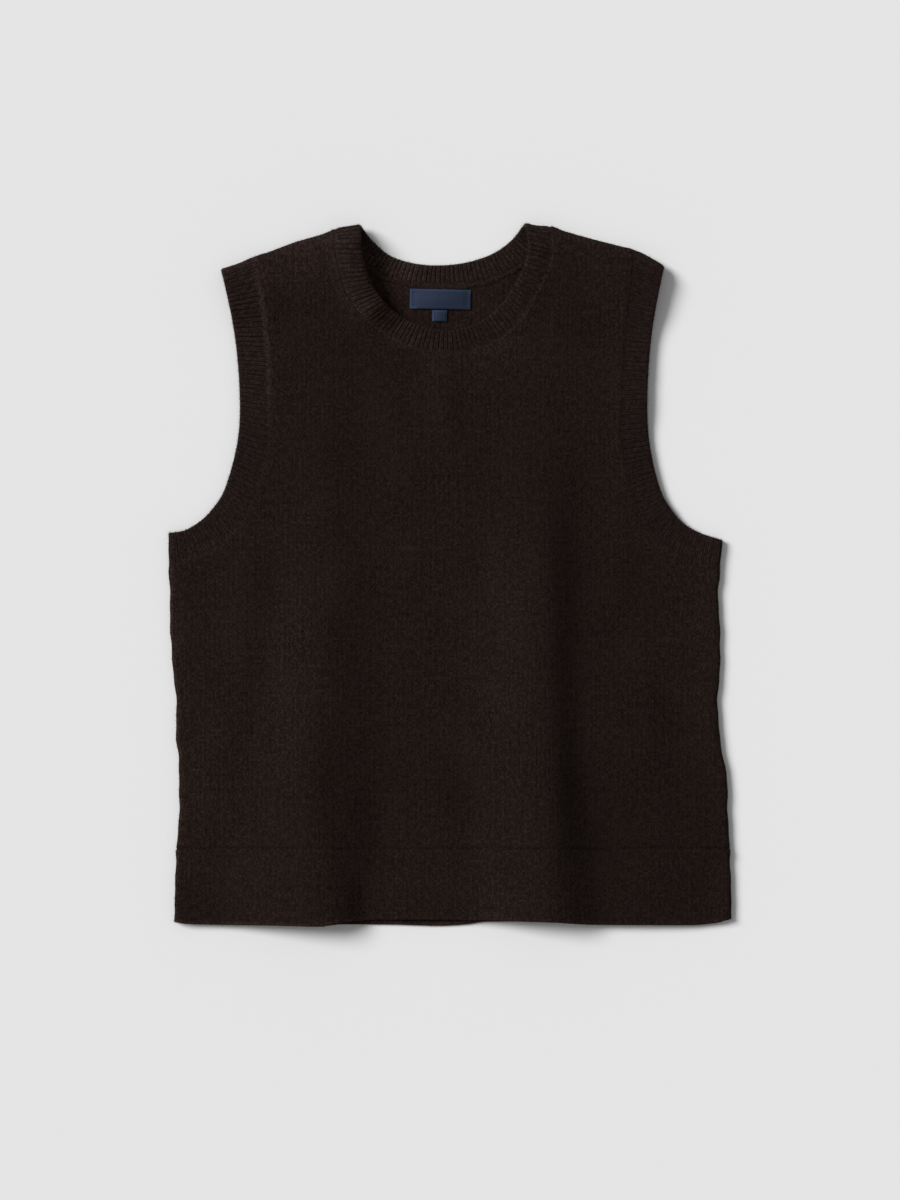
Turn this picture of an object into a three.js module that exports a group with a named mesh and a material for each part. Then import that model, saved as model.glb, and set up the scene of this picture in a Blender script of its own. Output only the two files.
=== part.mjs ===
// Knitted vest laid flat on its back: the front cloth lies on the back cloth, and they meet in
// rounded folds down the sides and along the shoulders. Ribbed bands edge the neck and armholes.
// Millimetres, +Z up. X runs across the body and Y from the hem to the neck.

import * as THREE from "three";

// Cloth walls and the spaces between pieces
const BODY_CLOTH = 2.2;
const HEM_CLOTH = 2.8;
const BAND_CLOTH = 2.4;
const LABEL_CLOTH = 0.8;
const SEAM_GAP = 0.3;
const LAYER_GAP = 0.9;

// Heights above the hem line, and where that line lies in the part's frame
const HEM_LINE_Y = -314;
const HEM_SEAM = 68;

// Ribs
const NECK_FRONT_RIBS = 62;
const NECK_BACK_RIBS = 48;
const ARMHOLE_RIBS = 80;
const RIB_HEIGHT = 0.9;

// Rounded side folds
const SIDE_REACH = 3.2;
const SIDE_RISE = 2.6;
const SIDE_RISE_WIDTH = 30;

// How far down the body the rise at the shoulder folds dies away, and how steeply they slope
const SHOULDER_RISE_LENGTH = 80;
const SHOULDER_SLOPE = 0.27;

// Outline of the side folds: height above the hem, left edge and right edge
const SIDES = [
  { y: -4, left: -249, right: 254 },
  { y: 22, left: -247.5, right: 253 },
  { y: 58, left: -245.7, right: 252 },
  { y: 94, left: -244, right: 251 },
  { y: 130, left: -244, right: 249.5 },
  { y: 148, left: -244.3, right: 246.6 },
  { y: 166, left: -246.4, right: 243 },
  { y: 202, left: -245.8, right: 240.4 },
  { y: 238, left: -249.3, right: 242.8 },
  { y: 292, left: -252, right: 241.2 },
  { y: 320, left: -253, right: 242.2 },
  { y: 352, left: -253.8, right: 245.4 },
];

// Outline of the shoulder folds, and how high the front rises there
const LEFT_SHOULDER = [
  { x: -206, y: 590.4, rise: 9 },
  { x: -177, y: 601.2, rise: 6 },
  { x: -167, y: 603.4, rise: 5 },
  { x: -139, y: 613.8, rise: 4 },
  { x: -110, y: 622.4, rise: 7 },
  { x: -104, y: 625, rise: 8 },
  { x: -83, y: 629.2, rise: 13 },
];
const RIGHT_SHOULDER = [
  { x: 69, y: 631, rise: 12 },
  { x: 91, y: 628.2, rise: 9 },
  { x: 99, y: 624.8, rise: 8 },
  { x: 128, y: 616.5, rise: 5 },
  { x: 157, y: 609, rise: 7 },
  { x: 166, y: 606.4, rise: 8 },
  { x: 193, y: 591.2, rise: 12 },
];

// Armhole bands from the underarm up to the shoulder: free edge and seam at each section
const LEFT_ARMHOLE = [
  { edgeX: -253.8, edgeY: 352, seamX: -253, seamY: 323 },
  { edgeX: -240, edgeY: 354, seamX: -234, seamY: 327 },
  { edgeX: -228.6, edgeY: 360, seamX: -214, seamY: 334 },
  { edgeX: -216, edgeY: 371, seamX: -199, seamY: 346 },
  { edgeX: -202.5, edgeY: 392, seamX: -178, seamY: 375 },
  { edgeX: -191, edgeY: 436, seamX: -164, seamY: 426 },
  { edgeX: -189.4, edgeY: 480, seamX: -162, seamY: 476 },
  { edgeX: -194.4, edgeY: 534, seamX: -165, seamY: 535 },
  { edgeX: -206, edgeY: 590, seamX: -175.5, seamY: 601 },
];
const RIGHT_ARMHOLE = [
  { edgeX: 245.4, edgeY: 345.6, seamX: 242, seamY: 316 },
  { edgeX: 226, edgeY: 351.6, seamX: 219, seamY: 323 },
  { edgeX: 211.5, edgeY: 359.5, seamX: 198, seamY: 338 },
  { edgeX: 200.7, edgeY: 371, seamX: 184, seamY: 352 },
  { edgeX: 189, edgeY: 392, seamX: 165, seamY: 381 },
  { edgeX: 179.4, edgeY: 434, seamX: 154, seamY: 430 },
  { edgeX: 178, edgeY: 484, seamX: 154, seamY: 484 },
  { edgeX: 183, edgeY: 536, seamX: 158.5, seamY: 540 },
  { edgeX: 193, edgeY: 591, seamX: 165.6, seamY: 606 },
];

// Neckband from the left shoulder round to the right one: free edge and seam at each section
const FRONT_NECK = [
  { edgeX: -83, edgeY: 629, seamX: -104.4, seamY: 625 },
  { edgeX: -80.4, edgeY: 601, seamX: -102, seamY: 602 },
  { edgeX: -69.5, edgeY: 574, seamX: -92.5, seamY: 568 },
  { edgeX: -53, edgeY: 553.5, seamX: -69.3, seamY: 538 },
  { edgeX: -30, edgeY: 539.6, seamX: -39, seamY: 520 },
  { edgeX: -3, edgeY: 534, seamX: -3, seamY: 514.6 },
  { edgeX: 25, edgeY: 541, seamX: 34, seamY: 519.6 },
  { edgeX: 46, edgeY: 558, seamX: 65, seamY: 539 },
  { edgeX: 61, edgeY: 580, seamX: 83.5, seamY: 566 },
  { edgeX: 70.4, edgeY: 606, seamX: 91.8, seamY: 599 },
  { edgeX: 69, edgeY: 631, seamX: 91, seamY: 628 },
];
const BACK_NECK = [
  { edgeX: -83, edgeY: 629, seamX: -104.4, seamY: 625 },
  { edgeX: -71, edgeY: 615, seamX: -88, seamY: 602 },
  { edgeX: -52, edgeY: 600.5, seamX: -62, seamY: 584 },
  { edgeX: -28, edgeY: 593.8, seamX: -32, seamY: 575.6 },
  { edgeX: -3, edgeY: 593, seamX: -3, seamY: 573.6 },
  { edgeX: 20, edgeY: 596.6, seamX: 25, seamY: 576.4 },
  { edgeX: 41, edgeY: 604.6, seamX: 52, seamY: 586 },
  { edgeX: 57, edgeY: 617, seamX: 74, seamY: 601 },
  { edgeX: 68, edgeY: 631, seamX: 91, seamY: 628 },
];

// Hem edges across the body: height of the front's edge and of the back's
const HEM_EDGES = [
  { x: -250, front: 2.2, back: 2.6 },
  { x: -238, front: 0, back: 0.4 },
  { x: -160, front: -1.6, back: -0.6 },
  { x: -112, front: -3, back: -2.4 },
  { x: -92, front: 2, back: -1.6 },
  { x: -60, front: 5.4, back: -0.6 },
  { x: -10, front: 6, back: -1.8 },
  { x: 34, front: 3.8, back: -0.8 },
  { x: 52, front: 0, back: 0.6 },
  { x: 236, front: 0.4, back: 1 },
  { x: 254, front: 4.6, back: 5 },
];

// Upright folds that start at the hem, at heights up the body: the crest, the width of each
// flank, and how far the front is lifted
const LEFT_FOLD = [
  { y: 0, crest: -118, left: 98, right: 52, lift: 12.5 },
  { y: 60, crest: -122, left: 92, right: 62, lift: 12 },
  { y: 107, crest: -125, left: 80, right: 70, lift: 11.5 },
  { y: 160, crest: -126, left: 66, right: 74, lift: 10.5 },
  { y: 215, crest: -124, left: 58, right: 70, lift: 8.5 },
  { y: 310, crest: -118, left: 62, right: 50, lift: 4.5 },
  { y: 410, crest: -115, left: 56, right: 44, lift: 0 },
];
const RIGHT_FOLD = [
  { y: 0, crest: 93, left: 84, right: 50, lift: 12.5 },
  { y: 107, crest: 86, left: 76, right: 46, lift: 12 },
  { y: 200, crest: 85, left: 72, right: 42, lift: 11 },
  { y: 310, crest: 84, left: 70, right: 40, lift: 9 },
  { y: 364, crest: 84, left: 64, right: 38, lift: 6 },
  { y: 470, crest: 82, left: 56, right: 38, lift: 0 },
];

// The back follows the folds by this share at the hem, and lies flat from this height up
const BACK_FOLD_SHARE = 0.32;
const BACK_FOLD_LENGTH = 75;
const BACK_FOLD_FADE = 1.5;

// Labels on the inside of the back, under the neckband: middle, size and turn in radians
const NECK_LABEL = { x: -8.6, y: 562, width: 55, height: 18, turn: -0.02 };
const SIZE_LABEL = { x: -9.2, y: 547.2, width: 13.5, height: 10.4, turn: -0.02 };

// Rows and columns of the grids: rows up the sides, beside the armholes and up the straps, and
// columns from the middle to one side. A fold has rows at these degrees of its turn.
const HEM_ROWS = [0, 0.45, 0.94, 1];
const SIDE_ROWS = 8;
const FRONT_ROWS = { arm: 12, strap: 9 };
const BACK_ROWS = { arm: 15, strap: 4 };
const HALF_COLUMNS = 9;
const FOLD_ANGLES = [30, 60, 90];
const FOLD_STATION_REACH = 8;
const SIDE_TURN_SHARE = 0.3;
const MIDDLE_X = -3;
const SEARCH_STEPS = 400;
const SLOPE_STEP = 0.05;

// Sections of a rounded rib and of a narrow one: place along its pitch and share of its height
const ROUND_RIB = [
  { place: 0.16, raised: 0 },
  { place: 0.34, raised: 1 },
  { place: 0.66, raised: 1 },
  { place: 0.84, raised: 0 },
];
const NARROW_RIB = [
  { place: 0.25, raised: 1 },
  { place: 0.75, raised: 0 },
];

// Places across a band from its seam to its free edge: how much of the rib's height and of the
// wall is left there
const SOFT_EDGE = [
  { place: 0, raised: 1, thin: 1 },
  { place: 0.92, raised: 1, thin: 1 },
  { place: 1, raised: 0.3, thin: 0.7 },
];
const SQUARE_EDGE = [
  { place: 0, raised: 1, thin: 1 },
  { place: 1, raised: 1, thin: 0.9 },
];

const FRONT = "front";
const BACK = "back";

const KNIT_COLOR = 0x2a1f1c;
const LABEL_COLOR = 0x2b3a52;
const knit = new THREE.MeshStandardMaterial({ color: KNIT_COLOR, roughness: 0.95, metalness: 0 });
const woven = new THREE.MeshStandardMaterial({ color: LABEL_COLOR, roughness: 0.6, metalness: 0 });

const { lerp, clamp, smoothstep } = THREE.MathUtils;

// Reads a table: the value of one column where another has the given size
function readTable(rows, key, size, column) {
  const last = rows.length - 1;
  const found = rows.findIndex((row) => row[key] > size);
  const next = found === -1 ? last : Math.max(found, 1);
  const low = rows[next - 1];
  const high = rows[next];
  const share = clamp((size - low[key]) / (high[key] - low[key]), 0, 1);
  return lerp(low[column], high[column], share);
}

// The middle of the cloth on a side fold lies half a wall inside the outline
function sideX(side, y) {
  const outline = readTable(SIDES, "y", y, side);
  return side === "left" ? outline + BODY_CLOTH / 2 : outline - BODY_CLOTH / 2;
}

function shoulderAt(x) {
  const rows = x < 0 ? LEFT_SHOULDER : RIGHT_SHOULDER;
  const y = readTable(rows, "x", x, "y") - BODY_CLOTH / 2;
  return { y, rise: readTable(rows, "x", x, "rise") };
}

// Lift of one layer by the upright folds, each a cosine ridge across the body
function foldLift(layer, x, y) {
  const up = clamp(y / BACK_FOLD_LENGTH, 0, 1);
  const share = layer === BACK ? BACK_FOLD_SHARE * (1 - up) ** BACK_FOLD_FADE : 1;
  let lift = 0;
  for (const fold of [LEFT_FOLD, RIGHT_FOLD]) {
    const crest = readTable(fold, "y", y, "crest");
    const width = readTable(fold, "y", y, x < crest ? "left" : "right");
    const across = Math.min(Math.abs(x - crest) / width, 1);
    const top = share * readTable(fold, "y", y, "lift");
    lift += top * (0.5 + 0.5 * Math.cos(Math.PI * across));
  }
  return lift;
}

// Height of the middle of one layer, away from the rounded folds
function layerHeight(layer, x, y, cloth) {
  if (layer === BACK) {
    return cloth / 2 + foldLift(BACK, x, y);
  }
  const shoulder = shoulderAt(x);
  const down = clamp((shoulder.y - y) / SHOULDER_RISE_LENGTH, 0, 1);
  const fromSide = Math.min(x - sideX("left", y), sideX("right", y) - x);
  const sideShare = 1 - smoothstep(fromSide, 0, SIDE_RISE_WIDTH);
  const rise = shoulder.rise * (1 - smoothstep(down, 0, 1)) + SIDE_RISE * sideShare;
  return cloth * 1.5 + LAYER_GAP + foldLift(FRONT, x, y) + rise;
}

// The rounded fold near a point: its turn, its reach in plan, and the way in from its edge
function roundedFold(x, y) {
  const shoulder = shoulderAt(x);
  const slope = x < 0 ? SHOULDER_SLOPE : -SHOULDER_SLOPE;
  const across = Math.hypot(slope, 1);
  const reach = (BODY_CLOTH + LAYER_GAP + shoulder.rise) / 2;
  const below = Math.max((shoulder.y - y) / across, 0);
  if (below < reach) {
    const inward = new THREE.Vector2(slope / across, -1 / across);
    return { turn: Math.asin(1 - below / reach), reach, inward };
  }
  const left = x - sideX("left", y);
  const right = sideX("right", y) - x;
  const inside = Math.max(Math.min(left, right), 0);
  const turn = inside < SIDE_REACH ? Math.asin(1 - inside / SIDE_REACH) : 0;
  return { turn, reach: SIDE_REACH, inward: new THREE.Vector2(left < right ? 1 : -1, 0) };
}

// A point on the middle of the cloth, and the unit vector out of its upper face. In a rounded
// fold the layer turns through a quarter of an ellipse, to meet the other layer half way.
function clothPoint(layer, x, y, cloth) {
  const height = layerHeight(layer, x, y, cloth);
  const slopeX = (layerHeight(layer, x + SLOPE_STEP, y, cloth) - height) / SLOPE_STEP;
  const slopeY = (layerHeight(layer, x, y + SLOPE_STEP, cloth) - height) / SLOPE_STEP;
  const { turn, reach, inward } = roundedFold(x, y);
  const other = layerHeight(layer === FRONT ? BACK : FRONT, x, y, cloth);
  const half = (other - height) / 2;
  const short = SEAM_GAP / 2 / Math.abs(half);
  const z = height + half * (1 - Math.cos(turn)) * (1 - short);
  const flat = reach * Math.cos(turn);
  const steep = half * Math.sin(turn);
  const up = new THREE.Vector3(steep * inward.x, steep * inward.y, 0);
  up.add(new THREE.Vector3(-slopeX * flat, -slopeY * flat, flat)).normalize();
  return { middle: new THREE.Vector3(x, y, z), up };
}

// A closed wall from grids of plan points that share their edge points. Each point has x and y,
// and may have relief, raised on the upper face, and thin, which narrows the wall. A piece that
// lies on another is made from the other's points, moved out.
function makeWall(name, layer, cloth, grids, material, carrier = cloth, offset = 0) {
  const found = new Map();
  const upper = [];
  const lower = [];
  const faces = [];
  const indexOf = (spot) => {
    const key = `${spot.x.toFixed(3)} ${spot.y.toFixed(3)}`;
    if (!found.has(key)) {
      const { middle, up } = clothPoint(layer, spot.x, spot.y, carrier);
      const half = (cloth / 2) * (spot.thin ?? 1);
      middle.addScaledVector(up, offset);
      upper.push(middle.clone().addScaledVector(up, half + (spot.relief ?? 0)));
      lower.push(middle.clone().addScaledVector(up, -half));
      found.set(key, upper.length - 1);
    }
    return found.get(key);
  };
  for (const grid of grids) {
    faces.push(...gridFaces(grid, indexOf));
  }
  const mesh = new THREE.Mesh(closeWall(upper, lower, faces), material);
  mesh.name = name;
  return mesh;
}

// Twice the signed area of a grid's outline in plan: above 0 where it runs anticlockwise
function gridTurn(grid) {
  const last = grid.length - 1;
  const right = grid.map((row) => row[row.length - 1]);
  const left = grid.map((row) => row[0]).reverse();
  const outline = [...grid[0], ...right, ...[...grid[last]].reverse(), ...left];
  return outline.reduce((sum, spot, k) => {
    const next = outline[(k + 1) % outline.length];
    return sum + spot.x * next.y - spot.y * next.x;
  }, 0);
}

// Triangles of a grid, anticlockwise seen from above
function gridFaces(grid, indexOf) {
  const faces = [];
  const clockwise = gridTurn(grid) < 0;
  for (let row = 0; row + 1 < grid.length; row++) {
    for (let column = 0; column + 1 < grid[row].length; column++) {
      const corners = [
        indexOf(grid[row][column]),
        indexOf(grid[row][column + 1]),
        indexOf(grid[row + 1][column + 1]),
        indexOf(grid[row + 1][column]),
      ];
      if (clockwise) {
        corners.reverse();
      }
      faces.push([corners[0], corners[1], corners[2]], [corners[0], corners[2], corners[3]]);
    }
  }
  return faces;
}

// Joins an upper and a lower face of the same triangles with a rim round their open edges
function closeWall(upper, lower, faces) {
  const count = upper.length;
  const open = new Map();
  const index = [];
  for (const [a, b, c] of faces) {
    index.push(a, b, c, count + c, count + b, count + a);
    for (const [from, to] of [[a, b], [b, c], [c, a]]) {
      if (!open.delete(`${to} ${from}`)) {
        open.set(`${from} ${to}`, [from, to]);
      }
    }
  }
  for (const [from, to] of open.values()) {
    index.push(to, from, count + from, to, count + from, count + to);
  }
  const points = [...upper, ...lower].flatMap((point) => point.toArray());
  const geometry = new THREE.BufferGeometry();
  geometry.setAttribute("position", new THREE.Float32BufferAttribute(points, 3));
  geometry.setIndex(index);
  geometry.computeVertexNormals();
  return geometry;
}

// A band between a free edge and a seam. Its rows end on the folds that they reach.
function makeBand(rows) {
  const curve = (spots) => new THREE.SplineCurve(spots);
  const edge = curve(rows.map((row) => new THREE.Vector2(row.edgeX, row.edgeY)));
  const seam = curve(rows.map((row) => new THREE.Vector2(row.seamX, row.seamY)));
  const middle = curve(edge.points.map((spot, k) => spot.clone().lerp(seam.points[k], 0.5)));
  const at = (line, share) => line.getPoint(middle.getUtoTmapping(clamp(share, 0, 1)));
  return {
    length: middle.getLength(),
    edgeAt: (share) => at(edge, share),
    seamAt: (share) => at(seam, share),
  };
}

function onShoulder(spot) {
  return new THREE.Vector2(spot.x, shoulderAt(spot.x).y);
}

function onSide(spot) {
  return new THREE.Vector2(sideX(spot.x < 0 ? "left" : "right", spot.y), spot.y);
}

// Shares of a band's length at its stations: even steps, then close ones round the folds
function stationShares(from, to, count, reachShare) {
  const end = to - Math.sign(to - from) * reachShare;
  const shares = [];
  for (let k = 0; k <= count; k++) {
    shares.push(lerp(from, end, k / count));
  }
  for (const angle of FOLD_ANGLES) {
    shares.push(lerp(end, to, Math.sin(THREE.MathUtils.degToRad(angle))));
  }
  return shares;
}

// The seam as straight chords between stations, moved by a distance away from the free edge
function seamSpot(band, shares, share, away) {
  const rising = shares[shares.length - 1] > shares[0];
  const next = Math.max(shares.findIndex((s) => (rising ? s >= share : s <= share)), 1);
  const [low, high] = [shares[next - 1], shares[next]];
  const spot = band.seamAt(low).lerp(band.seamAt(high), (share - low) / (high - low));
  const out = spot.clone().sub(band.edgeAt(share)).setLength(away);
  return spot.add(out);
}

function endSpot(spot, share, ends) {
  if (share === 0) {
    return ends.start(spot);
  }
  return share === 1 ? ends.finish(spot) : spot;
}

// Grid of a band: ribs stand on its sections, and both its ends lie on folds
function bandGrid(band, stations, sections, ends, places) {
  return sections.map(({ share, relief }) => {
    const seam = endSpot(seamSpot(band, stations, share, -SEAM_GAP / 2), share, ends);
    const edge = endSpot(band.edgeAt(share), share, ends);
    return places.map(({ place, raised, thin }) => {
      const spot = seam.clone().lerp(edge, place);
      return { x: spot.x, y: spot.y, relief: relief * raised, thin };
    });
  });
}

// Sections of a ribbed band, from the shape of one rib
function ribSections(ribs, shape) {
  const sections = [{ share: 0, relief: 0 }];
  for (let rib = 0; rib < ribs; rib++) {
    for (const { place, raised } of shape) {
      sections.push({ share: (rib + place) / ribs, relief: raised * RIB_HEIGHT });
    }
  }
  sections.push({ share: 1, relief: 0 });
  return sections;
}

// The share of a band's length at which its seam first passes a height
function shareAtHeight(band, height) {
  for (let k = 0; k <= SEARCH_STEPS; k++) {
    if (band.seamAt(k / SEARCH_STEPS).y > height) {
      return k / SEARCH_STEPS;
    }
  }
  return 1;
}

// The share of a neckband's length at which its seam is lowest
function lowestShare(band) {
  let best = 0;
  for (let k = 0; k <= SEARCH_STEPS; k++) {
    if (band.seamAt(k / SEARCH_STEPS).y < band.seamAt(best / SEARCH_STEPS).y) {
      best = k;
    }
  }
  return best / SEARCH_STEPS;
}

// Stations of the seams round one panel: both armholes, and the two halves of its neck
function planSeams(neck, rows) {
  const lowest = lowestShare(neck);
  const level = neck.seamAt(lowest).y;
  const foldShare = (band) => FOLD_STATION_REACH / band.length;
  const armStations = (arm) => {
    const share = shareAtHeight(arm, level);
    const low = [0, 0.25 / rows.arm];
    for (let k = 1; k < rows.arm; k++) {
      low.push((share * k) / rows.arm);
    }
    return [...low, ...stationShares(share, 1, rows.strap, foldShare(arm))];
  };
  return {
    left: armStations(leftArm),
    right: armStations(rightArm),
    neckLeft: stationShares(lowest, 0, rows.strap, foldShare(neck)),
    neckRight: stationShares(lowest, 1, rows.strap, foldShare(neck)),
  };
}

// Column shares from an outer edge to the middle: close together at the edge, where it turns
function columnShares(width) {
  const shares = [0, (SIDE_REACH * SIDE_TURN_SHARE) / width, SIDE_REACH / width];
  for (let k = 1; k <= HALF_COLUMNS; k++) {
    shares.push(lerp(SIDE_REACH / width, 1, k / HALF_COLUMNS));
  }
  return shares;
}

function betweenSpots(from, to, shares) {
  return shares.map((share) => from.clone().lerp(to, share));
}

// One full row of a panel, from its left edge through its middle line to its right edge
function panelRow(left, middle, right) {
  const leftHalf = betweenSpots(left, middle, columnShares(middle.x - left.x));
  const rightHalf = betweenSpots(right, middle, columnShares(right.x - middle.x));
  return [...leftHalf, ...rightHalf.reverse().slice(1)];
}

// How far a row lies above the straight line between its ends
function bendAt(row, column, share) {
  return row[column].y - lerp(row[0].y, row[row.length - 1].y, share);
}

// Grid of one shoulder strap between an armhole seam and a neck seam, with its lower row given
function strapGrid(armSpots, neckSpots, lowerRow) {
  const last = armSpots.length - 1;
  const shares = columnShares(Math.abs(lowerRow[lowerRow.length - 1].x - lowerRow[0].x));
  const top = betweenSpots(armSpots[last], neckSpots[last], shares).map(onShoulder);
  const rise = armSpots[last].y - armSpots[0].y;
  return armSpots.map((arm, k) => {
    const up = (arm.y - armSpots[0].y) / rise;
    return shares.map((share, column) => {
      const spot = arm.clone().lerp(neckSpots[k], share);
      spot.y += bendAt(lowerRow, column, share) * (1 - up) + bendAt(top, column, share) * up;
      return spot;
    });
  });
}

// A panel's points on a seam, the last of them on the shoulder fold
function seamSpots(band, stations) {
  const spots = stations.map((share) => seamSpot(band, stations, share, SEAM_GAP / 2));
  spots[spots.length - 1] = onShoulder(spots[spots.length - 1]);
  return spots;
}

// Rows of a panel from the hem seam up to just below the underarms
function sideRows(leftTop, rightTop, middleX) {
  const bottom = HEM_SEAM + SEAM_GAP / 2;
  const rows = [];
  for (let k = 0; k < SIDE_ROWS; k++) {
    const left = onSide({ x: -1, y: lerp(bottom, leftTop, k / SIDE_ROWS) });
    const right = onSide({ x: 1, y: lerp(bottom, rightTop, k / SIDE_ROWS) });
    rows.push(panelRow(left, new THREE.Vector2(middleX, (left.y + right.y) / 2), right));
  }
  return rows;
}

// Grids of a body panel above its hem seam: the body in one, then its two shoulder straps
function panelGrids(neck, seams) {
  const left = seamSpots(leftArm, seams.left);
  const right = seamSpots(rightArm, seams.right);
  left[0] = onSide(left[0]);
  right[0] = onSide(right[0]);
  const neckLeft = seamSpots(neck, seams.neckLeft);
  const neckRight = seamSpots(neck, seams.neckRight);
  neckRight[0] = neckLeft[0].clone();
  const middleX = neckLeft[0].x;
  const bodyRows = left.length - neckLeft.length + 1;
  const rows = sideRows(left[0].y, right[0].y, middleX);
  for (let k = 0; k < bodyRows; k++) {
    const level = lerp((left[k].y + right[k].y) / 2, neckLeft[0].y, k / (bodyRows - 1));
    rows.push(panelRow(left[k], new THREE.Vector2(middleX, level), right[k]));
  }
  const last = rows[rows.length - 1];
  const half = (last.length - 1) / 2;
  const leftStrap = strapGrid(left.slice(bodyRows - 1), neckLeft, last.slice(0, half + 1));
  const rightLower = last.slice(half).reverse();
  const rightStrap = strapGrid(right.slice(bodyRows - 1), neckRight, rightLower);
  return [rows, leftStrap, rightStrap];
}

// Grid of a hem from its edge up to its seam
function hemGrid(layer) {
  const top = HEM_SEAM - SEAM_GAP / 2;
  return HEM_ROWS.map((share) => {
    const y = lerp(0, top, share);
    const middle = new THREE.Vector2(MIDDLE_X, y);
    return panelRow(onSide({ x: -1, y }), middle, onSide({ x: 1, y })).map((spot) => {
      const edge = readTable(HEM_EDGES, "x", spot.x, layer);
      return { x: spot.x, y: lerp(edge, top, share), thin: share === 0 ? 0.8 : 1 };
    });
  });
}

// Grid of a label, a turned rectangle
function labelGrid({ x, y, width, height, turn }) {
  const centre = new THREE.Vector2(x, y);
  return [-0.5, 0, 0.5].map((up) =>
    [-0.5, -0.25, 0, 0.25, 0.5].map((across) =>
      new THREE.Vector2(x + across * width, y + up * height).rotateAround(centre, turn),
    ),
  );
}

function makeLabel(name, label) {
  const offset = BODY_CLOTH / 2 + SEAM_GAP + LABEL_CLOTH / 2;
  return makeWall(name, BACK, LABEL_CLOTH, [labelGrid(label)], woven, BODY_CLOTH, offset);
}

const leftArm = makeBand(LEFT_ARMHOLE);
const rightArm = makeBand(RIGHT_ARMHOLE);
const frontNeck = makeBand(FRONT_NECK);
const backNeck = makeBand(BACK_NECK);
const frontSeams = planSeams(frontNeck, FRONT_ROWS);
const backSeams = planSeams(backNeck, BACK_ROWS);
const frontNeckStations = [...frontSeams.neckLeft].reverse().concat(frontSeams.neckRight.slice(1));
const backNeckStations = [...backSeams.neckLeft].reverse().concat(backSeams.neckRight.slice(1));

const armEnds = { start: onSide, finish: onShoulder };
const neckEnds = { start: onShoulder, finish: onShoulder };
const armRibs = ribSections(ARMHOLE_RIBS, NARROW_RIB);
const frontNeckRibs = ribSections(NECK_FRONT_RIBS, ROUND_RIB);
const backNeckRibs = ribSections(NECK_BACK_RIBS, NARROW_RIB);

// Plain sections of a back armhole band, which lies under the front one
function plainSections(band, stations) {
  const foldShare = SIDE_REACH / band.length;
  const shares = [0, foldShare * SIDE_TURN_SHARE, foldShare, ...stations.slice(2)];
  return shares.map((share) => ({ share, relief: 0 }));
}

const frontPanel = panelGrids(frontNeck, frontSeams);
const backPanel = panelGrids(backNeck, backSeams);
const leftFrontArm = bandGrid(leftArm, frontSeams.left, armRibs, armEnds, SQUARE_EDGE);
const rightFrontArm = bandGrid(rightArm, frontSeams.right, armRibs, armEnds, SQUARE_EDGE);
const leftBackSections = plainSections(leftArm, backSeams.left);
const rightBackSections = plainSections(rightArm, backSeams.right);
const leftBackArm = bandGrid(leftArm, backSeams.left, leftBackSections, armEnds, SQUARE_EDGE);
const rightBackArm = bandGrid(rightArm, backSeams.right, rightBackSections, armEnds, SQUARE_EDGE);
const frontNeckGrid = bandGrid(frontNeck, frontNeckStations, frontNeckRibs, neckEnds, SOFT_EDGE);
const backNeckGrid = bandGrid(backNeck, backNeckStations, backNeckRibs, neckEnds, SOFT_EDGE);

const vest = new THREE.Group();
vest.add(
  makeWall("front_panel", FRONT, BODY_CLOTH, frontPanel, knit),
  makeWall("back_panel", BACK, BODY_CLOTH, backPanel, knit),
  makeWall("front_hem", FRONT, HEM_CLOTH, [hemGrid(FRONT)], knit),
  makeWall("back_hem", BACK, HEM_CLOTH, [hemGrid(BACK)], knit),
  makeWall("neckband_front", FRONT, BAND_CLOTH, [frontNeckGrid], knit),
  makeWall("neckband_back", BACK, BAND_CLOTH, [backNeckGrid], knit),
  makeWall("armband_left_front", FRONT, BAND_CLOTH, [leftFrontArm], knit),
  makeWall("armband_left_back", BACK, BAND_CLOTH, [leftBackArm], knit),
  makeWall("armband_right_front", FRONT, BAND_CLOTH, [rightFrontArm], knit),
  makeWall("armband_right_back", BACK, BAND_CLOTH, [rightBackArm], knit),
  makeLabel("neck_label", NECK_LABEL),
  makeLabel("size_label", SIZE_LABEL),
);
vest.position.y = HEM_LINE_Y;

export default vest;
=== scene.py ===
"""Dressed model of a knitted vest laid flat on its back, with ribbed bands and a turned-up hem.

Sizes in the tables are millimetres, X across the body and Y up from the hem line, as the camera
overhead sees them. Meshes are put into the scene in metres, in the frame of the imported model.
"""

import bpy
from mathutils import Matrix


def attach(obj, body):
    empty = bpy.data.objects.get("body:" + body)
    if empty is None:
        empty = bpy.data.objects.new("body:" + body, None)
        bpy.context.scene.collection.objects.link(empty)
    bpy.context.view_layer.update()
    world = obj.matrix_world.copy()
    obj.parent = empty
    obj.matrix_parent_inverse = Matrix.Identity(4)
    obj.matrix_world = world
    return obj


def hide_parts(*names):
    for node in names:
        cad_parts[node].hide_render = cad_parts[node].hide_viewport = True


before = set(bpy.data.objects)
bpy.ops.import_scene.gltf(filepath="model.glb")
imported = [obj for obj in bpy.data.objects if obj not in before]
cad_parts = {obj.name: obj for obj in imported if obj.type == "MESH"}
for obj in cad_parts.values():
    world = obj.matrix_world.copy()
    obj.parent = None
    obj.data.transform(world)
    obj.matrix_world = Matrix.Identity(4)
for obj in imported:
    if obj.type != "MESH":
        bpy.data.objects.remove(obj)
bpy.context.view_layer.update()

import logging
import math
from dataclasses import dataclass, field
from enum import Enum
from typing import NamedTuple, Sequence

import bpy
import numpy as np
from mathutils import Vector

log = logging.getLogger("vest")

MM = 0.001
HEM_LINE_Y = -314.0
CAMERA_HEIGHT = 2400.0
CAMERA_Y = 291.6


class Layer(Enum):
    """The two layers of cloth: the back lies on the floor and the front lies on it."""

    FRONT = "front"
    BACK = "back"


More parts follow.
